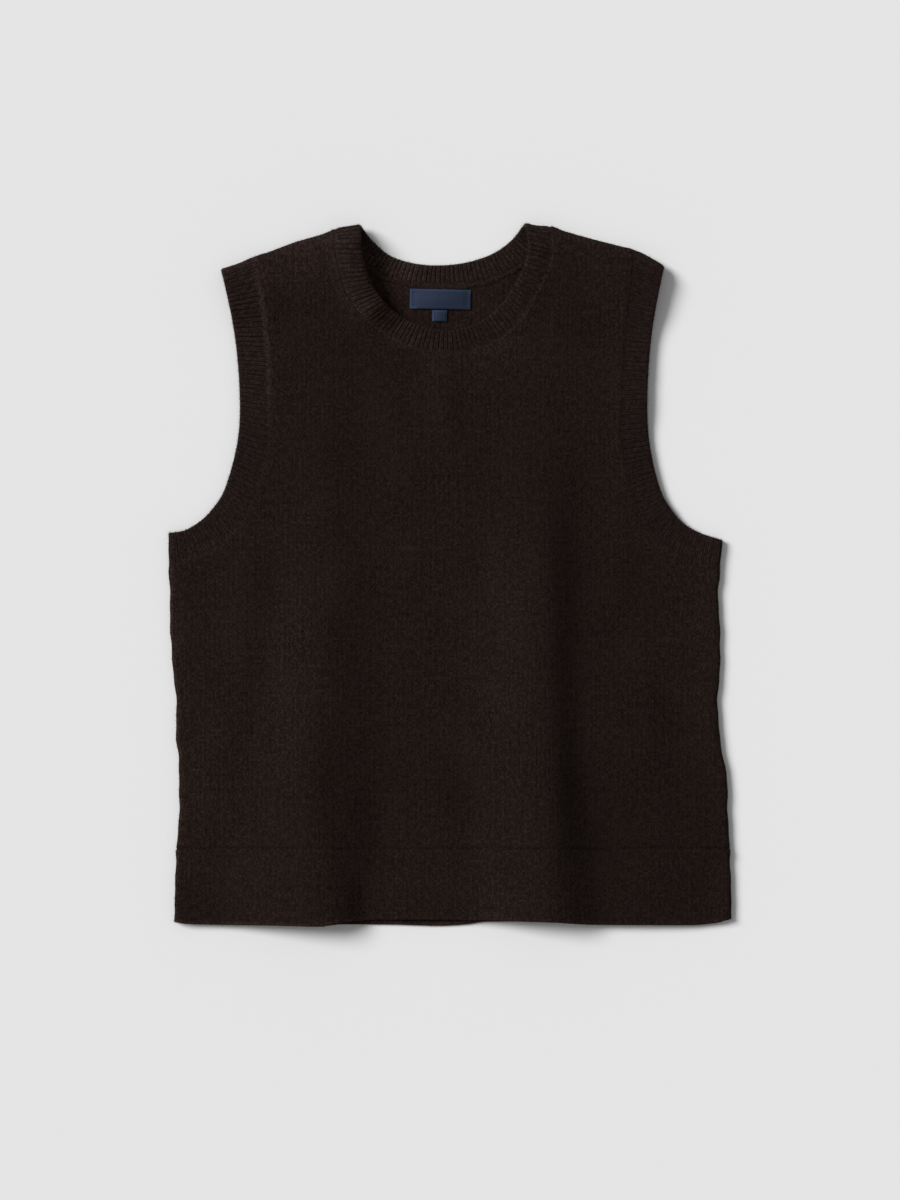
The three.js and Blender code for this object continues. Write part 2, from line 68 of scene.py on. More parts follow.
class Finish(Enum):
    """Material slots of the record."""

    BODY = "body_knit"
    RIB = "rib_knit"
    LABEL = "label_cloth"


class SideRow(NamedTuple):
    """Outline of the side folds at one height."""

    y: float
    left: float
    right: float


class ShoulderRow(NamedTuple):
    """A point of a shoulder fold's outline, and how high the front rises there."""

    x: float
    y: float
    rise: float


class Section(NamedTuple):
    """One section of a band: where its free edge and its seam lie."""

    edge_x: float
    edge_y: float
    seam_x: float
    seam_y: float


class HemRow(NamedTuple):
    """Heights of the front's and the back's hem edge at one place across the body."""

    x: float
    front: float
    back: float


class RidgeRow(NamedTuple):
    """An upright fold at one height: its crest, the widths of its flanks, how far down its
    right flank the steepest part lies (1 is half way), and how far it lifts the front."""

    y: float
    crest: float
    left: float
    right: float
    lean: float
    lift: float


class Crease(NamedTuple):
    """A soft trough (depth below 0) or swell along a line, with a width to each side of it."""

    from_x: float
    from_y: float
    to_x: float
    to_y: float
    width: float
    depth: float


class SeamLift(NamedTuple):
    """The linked seam beside a band at a share of its length: how high it stands, how strong the
    painted highlight in a strip beside it is, and how far out from the band that strip's middle lies."""

    share: float
    lift: float
    pale: float
    out: float


class RibPart(NamedTuple):
    """How a band's ribs are at a place round it: 0 to 1 along the front, 1 to 2 back along the
    back. Strength is the share of the full relief, tone the painted light (above 0) or painted
    shade (below 0) on the band, and seam the painted highlight beside the seam."""

    course: float
    strength: float
    tone: float
    seam: float


class PaintedLightArea(NamedTuple):
    """An area of painted light (tone above 0) or painted shade (tone below 0) in the cloth's colour.
    """

    x: float
    y: float
    reach_x: float
    reach_y: float
    tone: float


SIDES = (
    SideRow(-4, -249, 254),
    SideRow(22, -247.5, 253),
    SideRow(58, -246.6, 252),
    SideRow(94, -244.8, 251),
    SideRow(130, -244, 249.5),
    SideRow(148, -244.3, 246.6),
    SideRow(166, -246.4, 243),
    SideRow(202, -247.2, 241.6),
    SideRow(238, -250.4, 243.6),
    SideRow(292, -252.6, 242),
    SideRow(320, -253.4, 243.4),
    SideRow(352, -253.8, 246.6),
)
LEFT_SHOULDER = (
    ShoulderRow(-206, 589.2, 9),
    ShoulderRow(-189, 594.8, 7),
    ShoulderRow(-177, 600.2, 6),
    ShoulderRow(-167, 603.4, 5),
    ShoulderRow(-139, 613.8, 4),
    ShoulderRow(-110, 622.4, 7),
    ShoulderRow(-104, 625, 8),
    ShoulderRow(-80.4, 629.2, 13),
)
RIGHT_SHOULDER = (
    ShoulderRow(67, 630.4, 12),
    ShoulderRow(80, 627.8, 10.5),
    ShoulderRow(91, 627.6, 9),
    ShoulderRow(99, 624.8, 8),
    ShoulderRow(128, 616.5, 5),
    ShoulderRow(157, 609, 7),
    ShoulderRow(166, 606.4, 7),
    ShoulderRow(187, 595.4, 9),
    ShoulderRow(192.6, 591.6, 9.5),
)
LEFT_ARMHOLE = (
    Section(-253.8, 352, -253, 323),
    Section(-240, 354, -234, 327),
    Section(-228.6, 360, -214, 334),
    Section(-216, 371, -199, 346),
    Section(-202.5, 392, -178, 375),
    Section(-191, 436, -164, 426),
    Section(-189.4, 480, -162, 476),
    Section(-194.4, 534, -165, 535),
    Section(-206, 589, -175.5, 601),
)
RIGHT_ARMHOLE = (
    Section(245.4, 345.6, 242, 316),
    Section(226, 351.6, 219, 323),
    Section(211.5, 359.5, 198, 338),
    Section(200.7, 371, 184, 352),
    Section(189, 392, 165, 381),
    Section(179.4, 434, 154, 430),
    Section(177.8, 480, 154, 480),
    Section(182.2, 536, 158.5, 540),
    Section(192.6, 591.6, 165.6, 606),
)
FRONT_NECK = (
    Section(-80.4, 629, -104.4, 625),
    Section(-79, 601, -102, 602),
    Section(-69.5, 574, -92.5, 568),
    Section(-53, 553.5, -69.3, 538),
    Section(-30, 539.6, -39, 520),
    Section(-3, 534, -3, 514.6),
    Section(25, 541, 35.5, 522.4),
    Section(46, 558, 61, 541.3),
    Section(61, 580, 79.4, 571),
    Section(70.4, 606, 91.4, 599.6),
    Section(67, 630.4, 91, 627.4),
)
BACK_NECK = (
    Section(-80.4, 629, -104.4, 625),
    Section(-69, 614, -88, 602),
    Section(-52, 600.5, -62, 584),
    Section(-28, 593.8, -32, 575.6),
    Section(-3, 593, -3, 573.6),
    Section(20, 596.6, 25, 576.4),
    Section(41, 604.6, 52, 586),
    Section(57, 617, 74, 601),
    Section(67, 630.4, 91, 627.4),
)
HEM_EDGES = (
    HemRow(-250, 2.2, 2.6),
    HemRow(-238, 0, 0.4),
    HemRow(-160, -1.6, -0.6),
    HemRow(-116, -2.6, -2.2),
    HemRow(-98, 1.4, -0.4),
    HemRow(-60, 4, -0.4),
    HemRow(-10, 4, -1.6),
    HemRow(14, 3.6, -0.4),
    HemRow(32, 3.4, 2),
    HemRow(60, 2.2, 2.2),
    HemRow(90, 1.2, 1.4),
    HemRow(130, -0.8, -0.4),
    HemRow(215, -1.2, -0.6),
    HemRow(238, 0.6, 1),
    HemRow(254, 4.6, 5),
)
LEFT_RIDGE = (
    RidgeRow(0, -119, 98, 47, 1.45, 15.5),
    RidgeRow(35, -120, 96, 50, 1.3, 15.5),
    RidgeRow(60, -122, 92, 58, 1.0, 15.5),
    RidgeRow(107, -126, 80, 68, 0.8, 15.5),
    RidgeRow(150, -126, 68, 74, 0.78, 15),
    RidgeRow(190, -121, 60, 72, 0.78, 13),
    RidgeRow(230, -116, 60, 64, 0.8, 11),
    RidgeRow(275, -112, 62, 54, 0.85, 8.5),
    RidgeRow(310, -109, 62, 50, 0.95, 5.8),
    RidgeRow(364, -108, 60, 46, 1, 2.2),
    RidgeRow(410, -108, 56, 44, 1, 0),
)
RIGHT_RIDGE = (
    RidgeRow(0, 94, 90, 46, 1, 14.5),
    RidgeRow(60, 91, 88, 44, 0.95, 15),
    RidgeRow(107, 89, 86, 42, 0.9, 15),
    RidgeRow(200, 87, 80, 38, 0.9, 13.5),
    RidgeRow(310, 85, 74, 36, 0.95, 11),
    RidgeRow(364, 84, 68, 36, 0.95, 7.5),
    RidgeRow(418, 83, 60, 38, 0.95, 3.5),
    RidgeRow(470, 82, 56, 38, 1, 0),
)
BACK_RIDGE_SHARE = 0.32
BACK_RIDGE_LENGTH = 75.0
FRONT_CREASES = (
    Crease(204, 305, 206, 160, 17, -3.0),
    Crease(-182, 345, -186, 170, 20, 2.2),
    Crease(-8, 510, 2, 436, 12, 1.6),
    Crease(26, 515, 80, 524, 11, 1.0),
    Crease(80, 524, 138, 505, 12, 0.9),
    Crease(-226, 175, -222, 75, 13, -1.6),
    Crease(-40, 40, -34, -10, 22, 2.2),
    Crease(235, 60, 238, -10, 20, -2.0),
    Crease(150, 220, 150, -20, 70, 2.4),
    Crease(190, 565, 180, 455, 15, 2.8),
    Crease(-150, 470, -110, 330, 22, 0.5),
    Crease(140, 470, 100, 420, 16, 0.5),
    Crease(-94, 622, -66, 545, 18, 9.4),
    Crease(-72, 560, -52, 540, 22, 1.4),
    Crease(-168, 572, -110, 590, 20, 2.5),
    Crease(78, 612, 62, 560, 15, 2.0),
)
BACK_CREASES = (
    Crease(-50, 556, 44, 558, 10, 0.3),
    Crease(-64, 572, -30, 550, 7, 0.25),
    Crease(30, 552, 66, 575, 8, 0.35),
)
# In the seam tables, pale is a painted highlight in a strip beside the seam.
LEFT_ARM_LIFTS = (
    SeamLift(0, 0.1, 0.05, -0.9),
    SeamLift(0.25, 0.15, 0.12, -0.9),
    SeamLift(0.45, 0.3, 0.02, -0.9),
    SeamLift(0.54, 0.4, 0.16, -0.6),
    SeamLift(0.62, 0.4, 0.36, -0.2),
    SeamLift(0.7, 0.55, 0.5, -0.2),
    SeamLift(0.78, 0.45, 0.5, -0.4),
    SeamLift(0.86, 0.6, 0.72, -0.4),
    SeamLift(0.94, 0.3, 0.45, -0.4),
    SeamLift(1, 0.1, 0.15, -0.9),
)
RIGHT_ARM_LIFTS = (
    SeamLift(0, 0.1, 0.04, 1),
    SeamLift(0.3, 0.1, 0.05, 1),
    SeamLift(0.45, 0.1, 0.3, 3.5),
    SeamLift(0.6, 0.1, 0.08, 4.5),
    SeamLift(0.84, 0.15, 0.13, 6),
    SeamLift(1, 0.1, 0.05, 6),
)
FRONT_NECK_LIFTS = (
    SeamLift(0, 0.2, 0.12, 2.5),
    SeamLift(0.12, 0.25, 0.12, 2.5),
    SeamLift(0.3, 0.25, 0.06, 2.5),
    SeamLift(0.45, 0.2, 0.05, 0),
    SeamLift(0.62, 0.3, 0.1, 0),
    SeamLift(0.75, 0.55, 0.45, 0),
    SeamLift(0.88, 0.5, 0.5, 0),
    SeamLift(1, 0.3, 0.1, 0),
)
BACK_NECK_LIFTS = (
    SeamLift(0, 0, 0, 0),
    SeamLift(1, 0, 0, 0),
)
# In the rib tables, tone and seam are painted light and shade on the bands; the high tones near course
# 1.7 to 1.9 lighten the shadow inside the neck.
NECK_RIBS = (
    RibPart(0, 1, 0.05, 0.05),
    RibPart(0.15, 1, 0.05, 0),
    RibPart(0.3, 1, 0.24, 0),
    RibPart(0.42, 1, 0.08, 0),
    RibPart(0.6, 1, -0.12, 0),
    RibPart(0.7, 1, 0, 0.15),
    RibPart(0.82, 1, 0.2, 0.4),
    RibPart(1, 1, 0.08, 0.1),
    RibPart(1.15, 1, 0.19, 0),
    RibPart(1.55, 1, 0.19, 0),
    RibPart(1.68, 1, 0.9, 0),
    RibPart(1.88, 1, 1.05, 0),
    RibPart(2, 1, 0.3, 0),
)
LEFT_ARM_RIBS = (
    RibPart(0, 0.4, -0.05, 0.1),
    RibPart(0.22, 0.75, -0.06, 0.16),
    RibPart(0.45, 0.95, -0.12, 0),
    RibPart(0.62, 0.95, 0.06, 0.6),
    RibPart(0.86, 0.95, 0.14, 0.6),
    RibPart(1, 0.6, 0.1, 0.25),
    RibPart(2, 0.3, 0, 0),
)
RIGHT_ARM_RIBS = (
    RibPart(0, 0.35, -0.14, -0.1),
    RibPart(0.2, 0.5, -0.24, -0.12),
    RibPart(0.4, 0.8, -0.2, -0.22),
    RibPart(0.7, 0.8, -0.18, -0.26),
    RibPart(0.86, 0.7, -0.3, -0.12),
    RibPart(1, 0.45, -0.2, -0.1),
    RibPart(2, 0.35, 0, 0),
)
# Painted light and shade: areas whose colour is made lighter or darker where the folds and shoulders
# face towards or away from the light.
PAINTED_LIGHT_AREAS = (
    PaintedLightArea(190, 110, 80, 150, -0.2),
    PaintedLightArea(-145, 592, 55, 26, 0.26),
    PaintedLightArea(-238, 125, 12, 75, 0.3),
    PaintedLightArea(-117, 520, 30, 30, -0.08),
    PaintedLightArea(-40, 130, 50, 70, -0.07),
    PaintedLightArea(-212, 20, 30, 26, -0.08),
    PaintedLightArea(20, 380, 130, 170, -0.07),
    PaintedLightArea(80, 120, 20, 60, -0.05),
    PaintedLightArea(105, 115, 12, 75, -0.3),
    PaintedLightArea(-86, 22, 8, 24, -0.28),
    PaintedLightArea(222, 250, 20, 60, 0.06),
    PaintedLightArea(-250, 255, 12, 90, 0.36),
    PaintedLightArea(129, 66, 24, 62, -0.27),
    PaintedLightArea(118, 290, 28, 90, -0.2),
    PaintedLightArea(162, 310, 14, 40, -0.2),
    PaintedLightArea(-76, 90, 12, 50, -0.2),
    PaintedLightArea(-170, 125, 20, 35, -0.18),
    PaintedLightArea(75, 400, 60, 80, -0.09),
    PaintedLightArea(-96, 420, 20, 90, -0.17),
    PaintedLightArea(2, 500, 22, 16, 0.16),
    PaintedLightArea(44, 518, 30, 14, 0.36),
    PaintedLightArea(-140, 612, 22, 12, 0.3),
    PaintedLightArea(104, 612, 30, 12, 0.2),
    PaintedLightArea(8, 118, 22, 26, -0.2),
    PaintedLightArea(-166, 510, 14, 60, 0.1),
    PaintedLightArea(98, 235, 13, 40, -0.14),
    PaintedLightArea(229, 92, 10, 40, -0.13),
    PaintedLightArea(60, 120, 45, 90, -0.07),
    PaintedLightArea(-160, 70, 40, 60, -0.06),
    PaintedLightArea(-226, 135, 12, 60, 0.12),
    PaintedLightArea(-118, 215, 14, 35, 0.12),
    PaintedLightArea(112, 538, 30, 22, -0.2),
)


def column(rows: Sequence[NamedTuple], name: str) -> np.ndarray:
    """One column of a table as an array.

    Args:
        rows: the table.
        name: the column's name.

    Returns:
        The column's values, top row first.
    """
    return np.array([getattr(row, name) for row in rows], dtype=float)


def catmull_rom(knots: np.ndarray, t: np.ndarray) -> np.ndarray:
    """Points of an even Catmull-Rom curve: a cubic between knots, whose slope at each knot is
    half the step from the knot before it to the knot after it.

    Args:
        knots: (n, d) points that the curve passes.
        t: places from 0, the first knot, to 1, the last.

    Returns:
        (len(t), d) points.
    """
    last = len(knots) - 1
    place = np.clip(t, 0, 1) * last
    low = np.clip(np.floor(place).astype(int), 0, last - 1)
    w = (place - low)[:, None]
    p1, p2 = knots[low], knots[low + 1]
    start = (p2 - knots[np.maximum(low - 1, 0)]) / 2
    end = (knots[np.minimum(low + 2, last)] - p1) / 2
    cubic = 2 * p1 - 2 * p2 + start + end
    square = -3 * p1 + 3 * p2 - 2 * start - end
    return cubic * w**3 + square * w**2 + start * w + p1


def smooth_read(xs: np.ndarray, ys: np.ndarray, at: np.ndarray) -> np.ndarray:
    """Reads a table as a smooth curve: a cubic between rows, whose slope at a row is the
    harmonic mean of the slopes on both sides of it, or level at a peak or a dip.

    Args:
        xs: rising places of the rows.
        ys: values of the rows.
        at: places to read, held within the table.

    Returns:
        Values at those places.
    """
    runs = np.diff(ys) / np.diff(xs)
    both = runs[1:] * runs[:-1]
    mean = 2 * both / np.where(both > 0, runs[1:] + runs[:-1], 1)
    slopes = np.concatenate([runs[:1], np.where(both > 0, mean, 0), runs[-1:]])
    at = np.clip(at, xs[0], xs[-1])
    low = np.clip(np.searchsorted(xs, at) - 1, 0, len(xs) - 2)
    step = xs[low + 1] - xs[low]
    w = (at - xs[low]) / step
    rise = ys[low] * (1 + 2 * w) * (1 - w) ** 2 + ys[low + 1] * (3 - 2 * w) * w**2
    return rise + step * (slopes[low] * w * (1 - w) ** 2 - slopes[low + 1] * (1 - w) * w**2)


def smoothstep(value: np.ndarray) -> np.ndarray:
    """Eases from 0 to 1 as the value goes from 0 to 1: three squares less two cubes."""
    held = np.clip(value, 0, 1)
    return held * held * (3 - 2 * held)


def bell(away: np.ndarray, width: float) -> np.ndarray:
    """A bell curve of a distance: e to the minus square of the distance over the width."""
    return np.exp(-((away / width) ** 2))


def unit(ways: np.ndarray) -> np.ndarray:
    """Scales the vectors along the last axis to length 1."""
    return ways / np.maximum(np.linalg.norm(ways, axis=-1, keepdims=True), 1e-9)


@dataclass
class VestForm:
    """The shape that every piece follows: two layers of cloth that meet in rounded folds."""

    body_wall: float = 2.2
    layer_gap: float = 0.9
    seam_gap: float = 0.12
    side_reach: float = 3.2
    side_rise: float = 1.2
    side_rise_width: float = 22.0
    rise_length: float = 80.0
    shoulder_slope: float = 0.27
    shoulder_roll: float = 0.95
    swell: float = 0.22
    seed: int = 5
    waves: np.ndarray = field(init=False)

    def __post_init__(self) -> None:
        """Draws the long faint waves of the cloth: direction, length and phase."""
        rng = np.random.default_rng(self.seed)
        count = 14
        across = rng.uniform(1 / 140, 1 / 38, count) * rng.choice([-1, 1], count)
        along = rng.uniform(1 / 600, 1 / 120, count)
        self.waves = np.stack([across, along, rng.uniform(0, 1, count)])

    def side_x(self, side: str, y: np.ndarray) -> np.ndarray:
        """Middle of the cloth on a side fold, half a wall inside its outline.

        Args:
            side: "left" or "right".
            y: heights above the hem line.

        Returns:
            The places across the body.
        """
        outline = smooth_read(column(SIDES, "y"), column(SIDES, side), y)
        ripple = 0.3 * np.sin(y / 3.9) + 0.3 * np.sin(y / 7.7 + 1) + 0.35 * np.sin(y / 17 + 2)
        inset = self.body_wall / 2 + 0.3 + ripple * smoothstep(y / 20)
        return outline + (inset if side == "left" else -inset)

    def shoulder(self, x: np.ndarray) -> tuple[np.ndarray, np.ndarray]:
        """Middle of the cloth on the shoulder folds, and the front's rise there.

        Args:
            x: places across the body.

        Returns:
            Heights above the hem line, and rises.
        """
        picked = []
        for name in ("y", "rise"):
            left = smooth_read(column(LEFT_SHOULDER, "x"), column(LEFT_SHOULDER, name), x)
            right = smooth_read(column(RIGHT_SHOULDER, "x"), column(RIGHT_SHOULDER, name), x)
            picked.append(np.where(x < 0, left, right))
        return picked[0] - self.body_wall / 2, picked[1]

    def ridge_lift(self, layer: Layer, x: np.ndarray, y: np.ndarray) -> np.ndarray:
        """Lift by the upright folds: half a cosine across each flank, of the way across to the
        power of its lean. The back follows near the hem only.

        Args:
            layer: front or back cloth.
            x: places across the body.
            y: heights above the hem line.

        Returns:
            The lift in millimetres.
        """
        lift = np.zeros_like(x)
        for rows in (LEFT_RIDGE, RIGHT_RIDGE):
            up = column(rows, "y")
            crest, left, right, lean, top = (
                smooth_read(up, column(rows, name), y) for name in RidgeRow._fields[1:]
            )
            across = np.clip(np.where(x < crest, (crest - x) / left, (x - crest) / right), 0, 1)
            leant = np.where(x < crest, across, across**lean)
            lift += top * (0.5 + 0.5 * np.cos(np.pi * leant))
        if layer is Layer.BACK:
            fade = (1 - np.clip(y / BACK_RIDGE_LENGTH, 0, 1)) ** 1.5
            lift *= BACK_RIDGE_SHARE * fade
        return lift

    def creases(self, rows: Sequence[Crease], x: np.ndarray, y: np.ndarray) -> np.ndarray:
        """Soft creases: a bell across each line, eased in and out along it.

        Args:
            rows: the creases.
            x: places across the body.
            y: heights above the hem line.

        Returns:
            Height added to the cloth.
        """
        total = np.zeros_like(x)
        for row in rows:
            run_x, run_y = row.to_x - row.from_x, row.to_y - row.from_y
            length = math.hypot(run_x, run_y)
            along = ((x - row.from_x) * run_x + (y - row.from_y) * run_y) / length**2
            across = ((x - row.from_x) * run_y - (y - row.from_y) * run_x) / length
            ends = smoothstep(along * 3 + 0.5) * smoothstep((1 - along) * 3 + 0.5)
            total += row.depth * bell(across, row.width) * ends
        return total

    def waviness(self, x: np.ndarray, y: np.ndarray) -> np.ndarray:
        """Sum of long faint sine waves, steeper across the body than along it.

        Args:
            x: places across the body.
            y: heights above the hem line.

        Returns:
            Height added to the cloth.
        """
        across, along, phase = self.waves
        angle = x[..., None] * across + y[..., None] * along + phase
        return self.swell * np.sin(2 * np.pi * angle).sum(axis=-1) / math.sqrt(len(phase))

    def height(self, layer: Layer, x: np.ndarray, y: np.ndarray, wall: float) -> np.ndarray:
        """Height of the middle of one layer, away from the rounded folds.

        Args:
            layer: front or back cloth.
            x: places across the body.
            y: heights above the hem line.
            wall: thickness of the cloth.

        Returns:
            Heights above the floor.
        """
        if layer is Layer.BACK:
            return wall / 2 + self.ridge_lift(layer, x, y) + self.creases(BACK_CREASES, x, y)
        fold_y, rise = self.shoulder(x)
        down = np.clip((fold_y - y) / self.rise_length, 0, 1)
        inside = np.minimum(x - self.side_x("left", y), self.side_x("right", y) - x)
        side = self.side_rise * (1 - smoothstep(inside / self.side_rise_width))
        form = self.ridge_lift(layer, x, y) + rise * (1 - smoothstep(down)) + side
        soft = self.creases(FRONT_CREASES, x, y) + self.waviness(x, y)
        return wall * 1.5 + self.layer_gap + form + np.maximum(soft + 0.5, -0.4)

    def fold(self, x: np.ndarray, y: np.ndarray) -> tuple[np.ndarray, np.ndarray, np.ndarray]:
        """The rounded fold near each point.

        Args:
            x: places across the body.
            y: heights above the hem line.

        Returns:
            The turn from 0 on the flat to a right angle on the fold, its reach in plan, and the
            unit vector in from its edge.
        """
        fold_y, rise = self.shoulder(x)
        slope = np.where(x < 0, self.shoulder_slope, -self.shoulder_slope)
        across = np.hypot(slope, 1)
        shoulder_reach = (self.body_wall + self.layer_gap + rise) * self.shoulder_roll
        below = np.maximum((fold_y - y) / across, 0)
        on_shoulder = below < shoulder_reach
        left, right = x - self.side_x("left", y), self.side_x("right", y) - x
        inside = np.maximum(np.minimum(left, right), 0)
        reach = np.where(on_shoulder, shoulder_reach, self.side_reach)
        depth = np.where(on_shoulder, below, inside)
        turn = np.arcsin(1 - np.minimum(depth / reach, 1))
        inward_x = np.where(on_shoulder, slope / across, np.where(left < right, 1.0, -1.0))
        inward_y = np.where(on_shoulder, -1 / across, 0.0)
        return turn, reach, np.stack([inward_x, inward_y], axis=-1)

    def cloth(
        self, layer: Layer, x: np.ndarray, y: np.ndarray, wall: float
    ) -> tuple[np.ndarray, np.ndarray]:
        """Points on the middle of the cloth and unit vectors out of its upper face. In a
        rounded fold a layer turns through a quarter ellipse to meet the other half way. The
        tables hold places as the camera overhead sees them, so a raised point is drawn in
        towards the camera's axis by its share of the camera's height.

        Args:
            layer: front or back cloth.
            x: places across the body.
            y: heights above the hem line.
            wall: thickness of the cloth.

        Returns:
            (..., 3) points and (..., 3) unit vectors.
        """
        step = 0.2
        height = self.height(layer, x, y, wall)
        slope_x = (self.height(layer, x + step, y, wall) - height) / step
        slope_y = (self.height(layer, x, y + step, wall) - height) / step
        turn, reach, inward = self.fold(x, y)
        other = Layer.BACK if layer is Layer.FRONT else Layer.FRONT
        half = (self.height(other, x, y, wall) - height) / 2
        z = height + half * (1 - np.cos(turn))
        flat = reach * np.cos(turn)
        steep = half * np.sin(turn)
        up = np.stack(
            [
                steep * inward[..., 0] - slope_x * flat,
                steep * inward[..., 1] - slope_y * flat,
                flat,
            ],
            axis=-1,
        )
        nearer = z / CAMERA_HEIGHT
        seen = [x * (1 - nearer), y + (CAMERA_Y - y) * nearer, z]
        return np.stack(seen, axis=-1), unit(up)


class Band:
    """A band's plan between its free edge and its seam, by shares of its middle line's length."""

    def __init__(self, rows: Sequence[Section]) -> None:
        """Works out the curves.

        Args:
            rows: the sections, from one end of the band to the other.
        """
        self.edge = np.stack([column(rows, "edge_x"), column(rows, "edge_y")], axis=-1)
        self.seam = np.stack([column(rows, "seam_x"), column(rows, "seam_y")], axis=-1)
        self.places = np.linspace(0, 1, 1201)
        middle = catmull_rom((self.edge + self.seam) / 2, self.places)
        steps = np.linalg.norm(np.diff(middle, axis=0), axis=-1)
        walked = np.concatenate([[0], np.cumsum(steps)])
        self.length = float(walked[-1])
        self.walked = walked / self.length

    def edge_at(self, share: np.ndarray) -> np.ndarray:
        """Points of the free edge at shares of the band's length."""
        return catmull_rom(self.edge, np.interp(share, self.walked, self.places))

    def seam_at(self, share: np.ndarray) -> np.ndarray:
        """Points of the seam at shares of the band's length."""
        return catmull_rom(self.seam, np.interp(share, self.walked, self.places))

    def share_where(self, height: float) -> float:
        """The share at which the seam of a rising band first passes a height."""
        shares = np.linspace(0, 1, 2001)
        return float(shares[np.argmax(self.seam_at(shares)[:, 1] > height)])

    def lowest_share(self) -> float:
        """The share at which the seam is lowest."""
        shares = np.linspace(0, 1, 2001)
        return float(shares[np.argmin(self.seam_at(shares)[:, 1])])


class Cloth:
    """A closed wall of cloth: an outer and an inner face over one grid, and a rim between."""

    def __init__(self, name: str) -> None:
        """Names the piece.

        Args:
            name: name of its object.
        """
        self.name = name

    def make(
        self,
        middle: np.ndarray,
        outer: np.ndarray,
        inner: np.ndarray,
        faces: np.ndarray,
        uv: np.ndarray,
    ) -> bpy.types.Object:
        """Puts the wall into the scene. Faces are turned to look the way the outer points lie.

        Args:
            middle: (n, 3) points of the middle of the cloth, in millimetres.
            outer: (n, 3) points of the outer face.
            inner: (n, 3) points of the inner face.
            faces: (m, 4) grid cells as point numbers.
            uv: (n, 2) places on the flat cloth, in metres.

        Returns:
            The mesh object.
        """
        corners = middle[faces]
        normal = np.cross(corners[:, 2] - corners[:, 0], corners[:, 3] - corners[:, 1])
        facing = (normal * (outer - inner)[faces[:, 0]]).sum(axis=-1)
        if facing.sum() < 0:
            faces = faces[:, ::-1]
        count = len(middle)
        edges = np.concatenate([faces[:, [k, (k + 1) % 4]] for k in range(4)])
        keys = edges[:, 0] * count + edges[:, 1]
        back_keys = edges[:, 1] * count + edges[:, 0]
        open_edges = edges[~np.isin(keys, back_keys)]
        start, end = open_edges[:, 0], open_edges[:, 1]
        rim = np.stack([end, start, start + count, end + count], axis=-1)
        every = np.concatenate([faces, faces[:, ::-1] + count, rim])
        points = np.concatenate([outer, inner])
        return put_mesh(self.name, points, every, np.concatenate([uv, uv]))


def put_mesh(
    name: str, points: np.ndarray, faces: np.ndarray, uv: np.ndarray | None = None
) -> bpy.types.Object:
    """Makes a smooth-shaded mesh object from arrays.

    Args:
        name: name of the object.
        points: (n, 3) points in millimetres above the hem line. The floor presses flat what
            would lie below it.
        faces: (m, k) point numbers of the faces.
        uv: (n, 2) cloth coordinates of the points, in metres.

    Returns:
        The object, at the origin and linked to the scene.
    """
    placed = (points + np.array([0, HEM_LINE_Y, 0])) * MM
    placed[:, 2] = np.maximum(placed[:, 2], 0)
    sides = faces.shape[1]
    mesh = bpy.data.meshes.new(name)
    mesh.vertices.add(len(placed))
    mesh.vertices.foreach_set("co", placed.astype(np.float32).ravel())
    mesh.loops.add(faces.size)
    mesh.loops.foreach_set("vertex_index", faces.astype(np.int32).ravel())
    mesh.polygons.add(len(faces))
    mesh.polygons.foreach_set("loop_start", np.arange(0, faces.size, sides, dtype=np.int32))
    mesh.polygons.foreach_set("use_smooth", np.ones(len(faces), dtype=bool))
    if uv is not None:
        layer = mesh.uv_layers.new(name="Cloth")
        layer.data.foreach_set("uv", uv[faces.ravel()].astype(np.float32).ravel())
    mesh.update(calc_edges=True)
    mesh.validate()
    made = bpy.data.objects.new(name, mesh)
    bpy.context.scene.collection.objects.link(made)
    return made


def grid_faces(rows: int, columns: int, closed: bool = False) -> np.ndarray:
    """Cells of a grid whose points are numbered row by row.

    Args:
        rows: rows of points.
        columns: points in a row.
        closed: whether the last row joins the first.

    Returns:
        (cells, 4) point numbers.
    """
    numbers = np.arange(rows * columns).reshape(rows, columns)
    after = np.roll(numbers, -1, axis=0) if closed else numbers[1:]
    low = numbers if closed else numbers[:-1]
    cells = np.stack([low[:, :-1], low[:, 1:], after[:, 1:], after[:, :-1]], axis=-1)
    return cells.reshape(-1, 4)


def join_grids(grids: Sequence[np.ndarray]) -> tuple[np.ndarray, np.ndarray]:
    """Joins grids of points that share their edge points.

    Args:
        grids: (rows, columns, 2) plan points of each grid.

    Returns:
        The points, with none twice, and the cells of all the grids.
    """
    points, faces, first = [], [], 0
    for grid in grids:
        rows, columns = grid.shape[:2]
        points.append(grid.reshape(-1, 2))
        faces.append(grid_faces(rows, columns) + first)
        first += rows * columns
    together = np.concatenate(points)
    _, kept, number = np.unique(
        np.round(together, 4), axis=0, return_index=True, return_inverse=True
    )
    return together[kept], number.ravel()[np.concatenate(faces)]


def cell_areas(points: np.ndarray, faces: np.ndarray) -> np.ndarray:
    """Twice the signed area in plan of each cell, from its diagonals.

    Args:
        points: (n, 2) plan points.
        faces: (m, 4) point numbers.

    Returns:
        One value a cell, above 0 where it runs anticlockwise.
    """
    corners = points[faces]
    one = corners[:, 2] - corners[:, 0]
    other = corners[:, 3] - corners[:, 1]
    return one[:, 0] * other[:, 1] - one[:, 1] * other[:, 0]


def nearest(points: np.ndarray, line: np.ndarray) -> tuple[np.ndarray, np.ndarray]:
    """The sample of a line that lies nearest to each point in plan.

    Args:
        points: (n, 2) points.
        line: (m, 2) samples.

    Returns:
        The distances, and the numbers of the samples.
    """
    gaps = np.hypot(points[:, None, 0] - line[None, :, 0], points[:, None, 1] - line[None, :, 1])
    number = gaps.argmin(axis=1)
    return gaps[np.arange(len(points)), number], number


